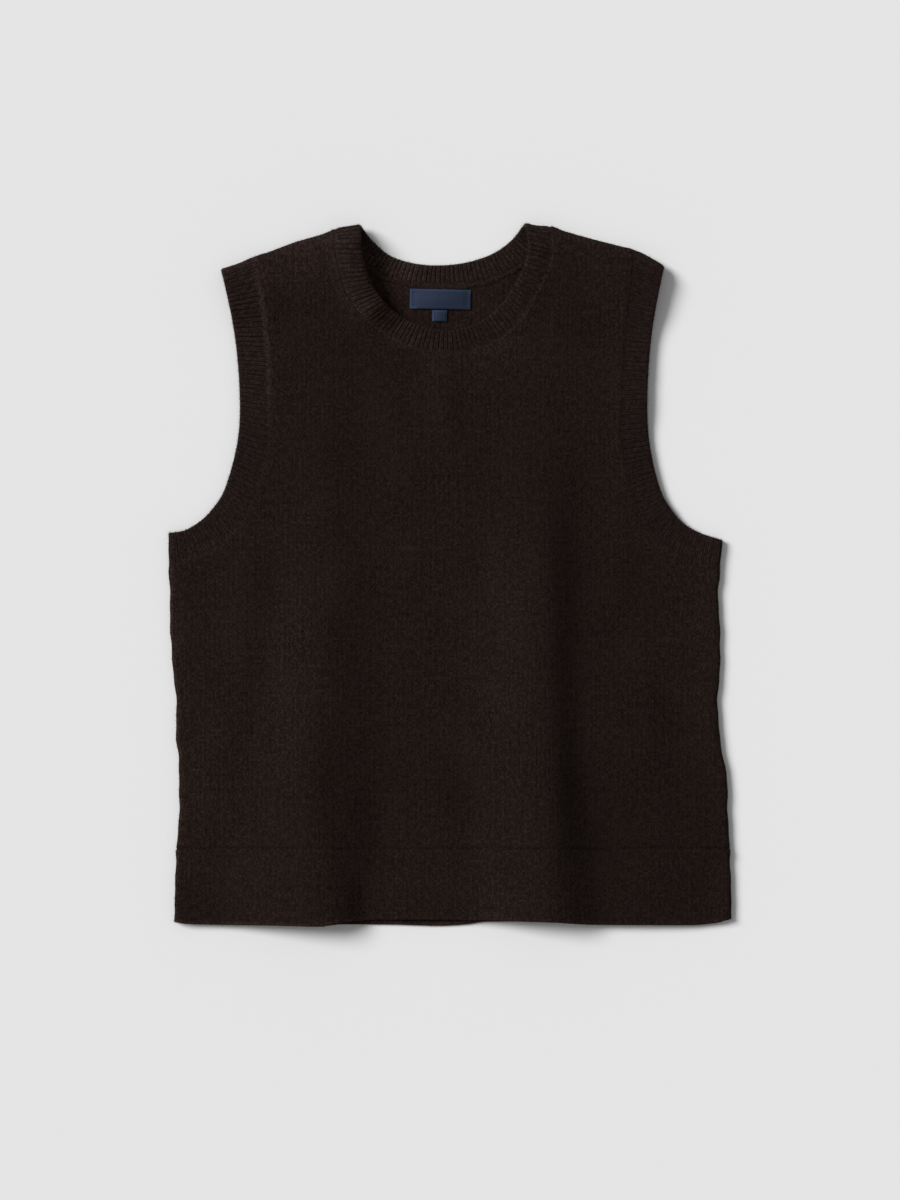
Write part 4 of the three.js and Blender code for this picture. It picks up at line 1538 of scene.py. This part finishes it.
class Bench:
    """Adds nodes and links to one node tree."""

    def __init__(self, tree: bpy.types.NodeTree) -> None:
        """Takes an empty tree.

        Args:
            tree: the tree of a material or a node group.
        """
        self.tree = tree
        tree.nodes.clear()

    def node(self, kind: str, **settings: object) -> bpy.types.Node:
        """Adds a node.

        Args:
            kind: the node's type.
            settings: properties to set on it.

        Returns:
            The node.
        """
        made = self.tree.nodes.new(kind)
        for name, value in settings.items():
            setattr(made, name, value)
        return made

    def feed(self, socket: bpy.types.NodeSocket, value: object) -> None:
        """Links an input to a socket, or sets it to a plain value.

        Args:
            socket: the input.
            value: an output socket, a number or a colour.
        """
        if isinstance(value, bpy.types.NodeSocket):
            self.tree.links.new(value, socket)
        else:
            socket.default_value = value

    def math(self, operation: str, *values: object, clamp: bool = False) -> bpy.types.NodeSocket:
        """Adds a Math node.

        Args:
            operation: what it does.
            values: its inputs in order, sockets or numbers.
            clamp: whether the result is held within 0 and 1.

        Returns:
            Its result.
        """
        made = self.node("ShaderNodeMath", operation=operation, use_clamp=clamp)
        for socket, value in zip(made.inputs, values):
            self.feed(socket, value)
        return made.outputs[0]

    def stretched(self, vector: object, scale: tuple[float, float, float]) -> object:
        """Scales a vector on each axis.

        Args:
            vector: the vector's socket.
            scale: one factor an axis.

        Returns:
            The scaled vector.
        """
        made = self.node("ShaderNodeVectorMath", operation="MULTIPLY")
        self.feed(made.inputs[0], vector)
        made.inputs[1].default_value = scale
        return made.outputs[0]

    def attribute(self, name: str) -> bpy.types.NodeSocket:
        """A number stored on the mesh's points."""
        return self.node("ShaderNodeAttribute", attribute_name=name).outputs["Fac"]

    def noise(self, vector: object, scale: float, detail: float) -> bpy.types.NodeSocket:
        """Adds a Noise Texture.

        Args:
            vector: where it is read.
            scale: its scale.
            detail: its octaves.

        Returns:
            Its factor.
        """
        made = self.node("ShaderNodeTexNoise")
        self.feed(made.inputs["Vector"], vector)
        made.inputs["Scale"].default_value = scale
        made.inputs["Detail"].default_value = detail
        return made.outputs["Fac"]

    def spread(self, value: object, low: float, high: float) -> bpy.types.NodeSocket:
        """Spreads a value so that low gives 0 and high gives 1, held between them.

        Args:
            value: the value's socket.
            low: what becomes 0.
            high: what becomes 1.

        Returns:
            The spread value.
        """
        made = self.node("ShaderNodeMapRange")
        self.feed(made.inputs["Value"], value)
        made.inputs["From Min"].default_value = low
        made.inputs["From Max"].default_value = high
        return made.outputs["Result"]

    def mix(self, factor: object, one: object, other: object) -> bpy.types.NodeSocket:
        """Mixes two colours.

        Args:
            factor: share of the other colour.
            one: the first colour.
            other: the other colour.

        Returns:
            The mixed colour.
        """
        made = self.node("ShaderNodeMix", data_type="RGBA")
        self.feed(made.inputs["Factor"], factor)
        self.feed(made.inputs[6], one)
        self.feed(made.inputs[7], other)
        return made.outputs[2]

    def shade(self, colour: object, amount: object) -> bpy.types.NodeSocket:
        """Multiplies a colour by a value.

        Args:
            colour: the colour.
            amount: the value.

        Returns:
            The colour, lighter or darker.
        """
        made = self.node("ShaderNodeVectorMath", operation="SCALE")
        self.feed(made.inputs[0], colour)
        self.feed(made.inputs["Scale"], amount)
        return made.outputs[0]

    def place(self, group: bpy.types.NodeTree, **values: object) -> bpy.types.Node:
        """Adds a node group.

        Args:
            group: the group.
            values: what its named inputs are fed.

        Returns:
            The group's node.
        """
        made = self.node("ShaderNodeGroup", node_tree=group)
        for name, value in values.items():
            self.feed(made.inputs[name], value)
        return made


def open_group(name: str, inputs: dict[str, str], outputs: Sequence[str]) -> tuple:
    """Starts a shader node group.

    Args:
        name: the group's name.
        inputs: names and socket kinds of its inputs.
        outputs: names of its value outputs.

    Returns:
        The group, its bench, and its input and output nodes.
    """
    group = bpy.data.node_groups.new(name, "ShaderNodeTree")
    bench = Bench(group)
    for label, kind in inputs.items():
        group.interface.new_socket(name=label, in_out="INPUT", socket_type=kind)
    for label in outputs:
        group.interface.new_socket(name=label, in_out="OUTPUT", socket_type="NodeSocketFloat")
    return group, bench, bench.node("NodeGroupInput"), bench.node("NodeGroupOutput")


class KnitEffects:
    """Node groups that the knitted finishes share."""

    def __init__(self) -> None:
        """Builds each group once."""
        self.stitches = self.stitch_group()
        self.wool = self.wool_group()

    def stitch_group(self) -> bpy.types.NodeTree:
        """Knit stitches: a column of leaning yarn legs. Across the column the height is a sine
        with a hollow in the middle and at the border; along it a cosine that leans outwards.

        Returns:
            The group, whose outputs are the height and the hollow.
        """
        group, bench, given, result = open_group(
            "Knit stitches",
            {"Side": "NodeSocketFloat", "Along": "NodeSocketFloat"},
            ["Height", "Hollow"],
        )
        side, along = given.outputs["Side"], given.outputs["Along"]
        across = bench.math("SINE", bench.math("MULTIPLY_ADD", side, 2.7, 0.22))
        lean = bench.math("MULTIPLY_ADD", side, 0.5, along)
        loop = bench.math("COSINE", bench.math("MULTIPLY", lean, 2 * math.pi))
        body = bench.math("MULTIPLY_ADD", loop, 0.16, 0.84)
        height = bench.math("MULTIPLY", across, body)
        bench.feed(result.inputs["Height"], height)
        bench.feed(result.inputs["Hollow"], bench.math("SUBTRACT", 1.0, height))
        return group

    def wool_group(self) -> bpy.types.NodeTree:
        """Brushed wool: mixed light and dark fibres, matted nap, long streaks down the columns
        and broad faint clouds.

        Returns:
            The group, whose outputs are four masks.
        """
        group, bench, given, result = open_group(
            "Brushed wool",
            {"Place": "NodeSocketVector", "Cloth": "NodeSocketVector"},
            ["Fleck", "Nap", "Streak", "Cloud"],
        )
        place, cloth = given.outputs["Place"], given.outputs["Cloth"]
        fine = bench.noise(bench.stretched(cloth, (760.0, 450.0, 0.0)), 1.0, 1.0)
        coarse = bench.noise(bench.stretched(cloth, (300.0, 170.0, 0.0)), 1.0, 2.0)
        fleck = bench.math("MULTIPLY_ADD", coarse, 0.38, bench.math("MULTIPLY", fine, 0.62))
        sparks = bench.math("POWER", bench.spread(fleck, 0.36, 0.68), 1.5)
        bench.feed(result.inputs["Fleck"], sparks)
        fibre = bench.noise(bench.stretched(place, (1900.0, 700.0, 1200.0)), 1.0, 2.0)
        tuft = bench.noise(place, 330.0, 4.0)
        nap = bench.math("ADD", bench.math("MULTIPLY", fibre, 0.4), bench.math("MULTIPLY", tuft, 0.6))
        bench.feed(result.inputs["Nap"], nap)
        streak = bench.noise(bench.stretched(cloth, (430.0, 14.0, 0.0)), 1.0, 2.0)
        bench.feed(result.inputs["Streak"], bench.spread(streak, 0.3, 0.7))
        bench.feed(result.inputs["Cloud"], bench.spread(bench.noise(place, 24.0, 4.0), 0.3, 0.7))
        return group


@dataclass(frozen=True)
class KnitFinish:
    """Dark brushed wool knit. Colours are linear."""

    name: str
    dark: tuple[float, float, float, float]
    light: tuple[float, float, float, float]
    wale: float = 0.0023
    course: float = 0.0019
    stitch_share: float = 0.5
    relief: float = 0.001
    ribbed: bool = False
    sheen: float = 0.03

    def material(self, effects: KnitEffects) -> bpy.types.Material:
        """Builds the material.

        Args:
            effects: the shared node groups.

        Returns:
            The material.
        """
        made = bpy.data.materials.new(self.name)
        made.use_nodes = True
        bench = Bench(made.node_tree)
        places = bench.node("ShaderNodeTexCoord")
        cloth = bench.node("ShaderNodeUVMap", uv_map="Cloth").outputs[0]
        split = bench.node("ShaderNodeSeparateXYZ")
        bench.feed(split.inputs[0], cloth)
        wool = bench.place(effects.wool, Place=places.outputs["Object"], Cloth=cloth)
        if self.ribbed:
            side = bench.math("SUBTRACT", 1.0, bench.attribute("rib"))
            # Painted shade: the colour is darkened in the rib valleys.
            depth = bench.math("MULTIPLY_ADD", bench.attribute("valley"), -0.62, 1.05)
        else:
            turns = bench.math("FRACT", bench.math("DIVIDE", split.outputs[0], self.wale))
            side = bench.math("ABSOLUTE", bench.math("MULTIPLY_ADD", turns, 2.0, -1.0))
            depth = 1.0
        along = bench.math("DIVIDE", split.outputs[1], self.course)
        stitch = bench.place(effects.stitches, Side=side, Along=along)
        tone = bench.math("MULTIPLY", wool.outputs["Fleck"], 1.06)
        tone = bench.math("MULTIPLY_ADD", wool.outputs["Streak"], 0.14, tone)
        tone = bench.math("MULTIPLY_ADD", wool.outputs["Cloud"], 0.13, tone)
        # Painted light: the stitch crests are made lighter in the colour.
        tone = bench.math("MULTIPLY_ADD", stitch.outputs["Height"], 0.12, tone)
        colour = bench.mix(tone, self.dark, self.light)
        # Painted shade: the colour is darkened in the stitch hollows.
        hollow = bench.math("MULTIPLY_ADD", stitch.outputs["Hollow"], -0.5, 1.22)
        # The tone attribute is painted light and shade; it scales the colour.
        pale = bench.math("ADD", bench.attribute("tone"), 1.0)
        shade = bench.math("MULTIPLY", bench.math("MULTIPLY", depth, hollow), pale)
        colour = bench.shade(colour, shade)
        nap = bench.math("MULTIPLY", wool.outputs["Nap"], 1 - self.stitch_share)
        height = bench.math("MULTIPLY_ADD", stitch.outputs["Height"], self.stitch_share, nap)
        bump = bench.node("ShaderNodeBump")
        bump.inputs["Distance"].default_value = self.relief
        bench.feed(bump.inputs["Height"], height)
        shader = bench.node("ShaderNodeBsdfPrincipled")
        bench.feed(shader.inputs["Base Color"], colour)
        bench.feed(shader.inputs["Normal"], bump.outputs[0])
        rough = bench.math("MULTIPLY_ADD", wool.outputs["Fleck"], 0.08, 0.88)
        bench.feed(shader.inputs["Roughness"], rough)
        shader.inputs["Specular IOR Level"].default_value = 0.04
        shader.inputs["Sheen Weight"].default_value = self.sheen
        shader.inputs["Sheen Roughness"].default_value = 0.6
        shader.inputs["Sheen Tint"].default_value = (0.8, 0.62, 0.55, 1)
        out = bench.node("ShaderNodeOutputMaterial")
        bench.feed(out.inputs["Surface"], shader.outputs[0])
        return made


@dataclass(frozen=True)
class WovenFinish:
    """Navy satin-woven label cloth."""

    name: str = "Navy woven label"
    dark: tuple[float, float, float, float] = (0.0085, 0.015, 0.034, 1)
    light: tuple[float, float, float, float] = (0.021, 0.034, 0.068, 1)
    thread: float = 0.00042

    def material(self) -> bpy.types.Material:
        """Builds the material: crossing threads, each a rounded rib, over a soft mottle.

        Returns:
            The material.
        """
        made = bpy.data.materials.new(self.name)
        made.use_nodes = True
        bench = Bench(made.node_tree)
        cloth = bench.node("ShaderNodeUVMap", uv_map="Cloth").outputs[0]
        split = bench.node("ShaderNodeSeparateXYZ")
        bench.feed(split.inputs[0], cloth)
        waves = []
        for axis, share in ((0, 1.0), (1, 1.7)):
            turn = bench.math("MULTIPLY", split.outputs[axis], 2 * math.pi / self.thread / share)
            waves.append(bench.math("SINE", turn))
        weave = bench.math("MULTIPLY_ADD", bench.math("MULTIPLY", *waves), 0.5, 0.5)
        mottle = bench.noise(cloth, 900.0, 3.0)
        tone = bench.math("ADD", bench.math("MULTIPLY", weave, 0.5),
                          bench.math("MULTIPLY", mottle, 0.5))
        bump = bench.node("ShaderNodeBump")
        bump.inputs["Distance"].default_value = 0.00015
        bench.feed(bump.inputs["Height"], tone)
        shader = bench.node("ShaderNodeBsdfPrincipled")
        # The tone attribute is painted light and shade; it scales the label's colour.
        pale = bench.math("ADD", bench.attribute("tone"), 1.0)
        colour = bench.shade(bench.mix(tone, self.dark, self.light), pale)
        bench.feed(shader.inputs["Base Color"], colour)
        bench.feed(shader.inputs["Roughness"], bench.math("MULTIPLY_ADD", mottle, 0.2, 0.5))
        bench.feed(shader.inputs["Normal"], bump.outputs[0])
        shader.inputs["Specular IOR Level"].default_value = 0.15
        out = bench.node("ShaderNodeOutputMaterial")
        bench.feed(out.inputs["Surface"], shader.outputs[0])
        return made


@dataclass
class Studio:
    """A pale floor, one broad soft light from the upper left, and the camera overhead."""

    floor_size: float = 60.0
    floor_level: float = -0.0002
    floor_shade: float = 0.8
    sun_strength: float = 3.63
    sun_angle: float = 26.0
    sun_from: tuple[float, float, float] = (-1.25, 0.62, 1.0)
    fill: float = 0.3
    lens: float = 80.0
    sensor: float = 36.0

    def build(self) -> None:
        """Makes the floor, the lights and the camera."""
        self.make_floor()
        sun = bpy.data.lights.new("soft_key", "SUN")
        sun.energy = self.sun_strength
        sun.angle = math.radians(self.sun_angle)
        lamp = bpy.data.objects.new("soft_key", sun)
        lamp.rotation_euler = Vector(self.sun_from).to_track_quat("Z", "Y").to_euler()
        bpy.context.scene.collection.objects.link(lamp)
        world = bpy.data.worlds.new("studio")
        world.use_nodes = True
        world.node_tree.nodes["Background"].inputs["Color"].default_value = (1, 1, 1, 1)
        world.node_tree.nodes["Background"].inputs["Strength"].default_value = self.fill
        bpy.context.scene.world = world
        bpy.context.scene.view_settings.view_transform = "Standard"
        camera = bpy.data.cameras.new("overhead")
        camera.lens = self.lens
        camera.sensor_fit = "AUTO"
        camera.sensor_width = self.sensor
        camera.clip_end = 50
        stand = bpy.data.objects.new("overhead", camera)
        stand.location = (0, (CAMERA_Y + HEM_LINE_Y) * MM, CAMERA_HEIGHT * MM)
        bpy.context.scene.collection.objects.link(stand)
        bpy.context.scene.camera = stand

    def make_floor(self) -> None:
        """Makes the pale floor: one flat square."""
        half = self.floor_size / 2
        corners = [(-half, -half), (half, -half), (half, half), (-half, half)]
        mesh = bpy.data.meshes.new("floor")
        mesh.from_pydata([(x, y, self.floor_level) for x, y in corners], [], [(0, 1, 2, 3)])
        floor = bpy.data.objects.new("floor", mesh)
        bpy.context.scene.collection.objects.link(floor)
        paper = bpy.data.materials.new("Pale floor")
        paper.use_nodes = True
        shader = paper.node_tree.nodes["Principled BSDF"]
        shader.inputs["Base Color"].default_value = (*[self.floor_shade] * 3, 1)
        shader.inputs["Roughness"].default_value = 1.0
        shader.inputs["Specular IOR Level"].default_value = 0.0
        mesh.materials.append(paper)


@dataclass
class LooseFibres:
    """Loose ends of the brushed yarn: short bent spikes that stand off the folds and edges,
    and lie about on the front."""

    name: str = "loose_fibres"
    on_edges: int = 9000
    on_front: int = 6500
    shortest: float = 0.8
    longest: float = 2.6
    thickness: float = 0.13
    root_depth: float = 0.25
    seed: int = 11

    def skin(self, carriers: Sequence[bpy.types.Object]) -> tuple[np.ndarray, np.ndarray]:
        """Reads the outer faces of the pieces that carry the fibres.

        Args:
            carriers: walls of cloth, whose first half of points is the outer face.

        Returns:
            Points in millimetres above the hem line, and unit vectors out of the cloth.
        """
        spots, ways = [], []
        for carrier in carriers:
            points = carrier.data.vertices
            for kept, name in ((spots, "co"), (ways, "normal")):
                values = np.empty(len(points) * 3, dtype=np.float32)
                points.foreach_get(name, values)
                kept.append(values.reshape(-1, 3)[: len(points) // 2].astype(float))
        above = np.concatenate(spots) / MM - np.array([0, HEM_LINE_Y, 0])
        return above, unit(np.concatenate(ways))

    def build(self, carriers: Sequence[bpy.types.Object]) -> bpy.types.Object:
        """Makes the fibres: each is a three-sided spike in two lengths, the second bent aside,
        closed at its root. Those on the front lean over until they nearly lie flat.

        Args:
            carriers: the pieces that carry them.

        Returns:
            The fibres.
        """
        rng = np.random.default_rng(self.seed)
        spots, ways = self.skin(carriers)
        beside = np.flatnonzero((np.abs(ways[:, 2]) < 0.7) & (spots[:, 2] > 0.6))
        on_top = np.flatnonzero(ways[:, 2] > 0.7)
        chosen = np.concatenate(
            [rng.choice(beside, self.on_edges), rng.choice(on_top, self.on_front)]
        )
        count = len(chosen)
        way = ways[chosen]
        drift = unit(np.cross(way, rng.normal(size=(count, 3))))
        lying = (np.arange(count) >= self.on_edges)[:, None]
        lean = rng.uniform(0.2, 1.3, (count, 1)) + 2.4 * lying
        first = unit(way + drift * lean)
        second = unit(first + 0.9 * unit(np.cross(first, rng.normal(size=(count, 3)))))
        length = rng.uniform(self.shortest, self.longest, (count, 1))
        root = spots[chosen] + drift * rng.uniform(0, 1.2, (count, 1)) - way * self.root_depth
        middle = root + first * length * 0.5
        tip = middle + second * length * 0.5
        side = unit(np.cross(first, rng.normal(size=(count, 3))))
        aside = np.cross(first, side)
        turns = np.arange(3) * 2 * np.pi / 3
        ring = side[:, None] * np.cos(turns)[:, None] + aside[:, None] * np.sin(turns)[:, None]
        ring *= self.thickness / 2
        points = np.concatenate(
            [root[:, None] + ring, middle[:, None] + ring * 0.7, tip[:, None]], axis=1
        )
        points[..., 2] = np.maximum(points[..., 2], 0.05 + 0.03 * np.arange(7))
        spike = np.array(
            [(0, 2, 1), (0, 1, 4), (0, 4, 3), (1, 2, 5), (1, 5, 4), (2, 0, 3), (2, 3, 5),
             (3, 4, 6), (4, 5, 6), (5, 3, 6)]
        )
        faces = (spike + np.arange(count)[:, None, None] * 7).reshape(-1, 3)
        return put_mesh(self.name, points.reshape(-1, 3), faces)


@dataclass(frozen=True)
class FibreFinish:
    """Plain matt yarn. The colour is linear."""

    name: str = "Loose yarn"
    colour: tuple[float, float, float, float] = (0.03, 0.0185, 0.0155, 1)

    def material(self) -> bpy.types.Material:
        """Builds the material.

        Returns:
            The material.
        """
        made = bpy.data.materials.new(self.name)
        made.use_nodes = True
        bench = Bench(made.node_tree)
        shader = bench.node("ShaderNodeBsdfPrincipled")
        shader.inputs["Base Color"].default_value = self.colour
        shader.inputs["Roughness"].default_value = 0.9
        shader.inputs["Specular IOR Level"].default_value = 0.1
        out = bench.node("ShaderNodeOutputMaterial")
        bench.feed(out.inputs["Surface"], shader.outputs[0])
        return made


def dress(piece: bpy.types.Object, material: bpy.types.Material) -> None:
    """Gives a piece its material and the body that it rides on.

    Args:
        piece: the piece.
        material: its material.
    """
    piece.data.materials.append(material)
    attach(piece, "root")
    log.info("%s: %d faces", piece.name, len(piece.data.polygons))


def main() -> None:
    """Builds the studio and the vest, and dresses each piece."""
    logging.basicConfig(level=logging.INFO, format="%(name)s %(message)s")
    Studio().build()
    form = VestForm()
    arms = (Band(LEFT_ARMHOLE), Band(RIGHT_ARMHOLE))
    front_neck, back_neck = Band(FRONT_NECK), Band(BACK_NECK)
    effects = KnitEffects()
    body_knit = KnitFinish(
        "Dark brushed knit", (0.0018, 0.0008, 0.0006, 1), (0.0245, 0.0143, 0.0117, 1)
    ).material(effects)
    rib_knit = KnitFinish(
        "Dark ribbed knit", (0.0028, 0.0014, 0.0011, 1), (0.029, 0.0175, 0.0148, 1),
        course=0.0021, stitch_share=0.45, ribbed=True,
    ).material(effects)
    label_cloth = WovenFinish().material()

    body = VestBody(form).build({Layer.FRONT: front_neck, Layer.BACK: back_neck}, arms)
    dress(body, body_knit)
    neck = RibbedRing(form, "neckband", front_neck, back_neck, 4.25, 1.0, NECK_RIBS)
    carriers = [body, neck.build(["neckband_front", "neckband_back"])]
    dress(carriers[-1], rib_knit)
    for side, arm, parts in zip(("left", "right"), arms, (LEFT_ARM_RIBS, RIGHT_ARM_RIBS)):
        ring = RibbedRing(form, f"armband_{side}", arm, arm, 4.35, 0.0, parts, steps=6)
        replaced = [f"armband_{side}_front", f"armband_{side}_back"]
        carriers.append(ring.build(replaced))
        dress(carriers[-1], rib_knit)
    dress(LooseFibres().build(carriers), FibreFinish().material())
    dress(NeckRoll(form, back_neck).build(), body_knit)
    labels = (
        WovenLabel(form, "neck_label_cloth", "neck_label", -8.6, 562, 55, 18),
        WovenLabel(form, "size_label_cloth", "size_label", -9.2, 547.2, 13.5, 10.4, bulge=1.2),
    )
    for label in labels:
        dress(label.build(), label_cloth)


if __name__ == "__main__":
    main()
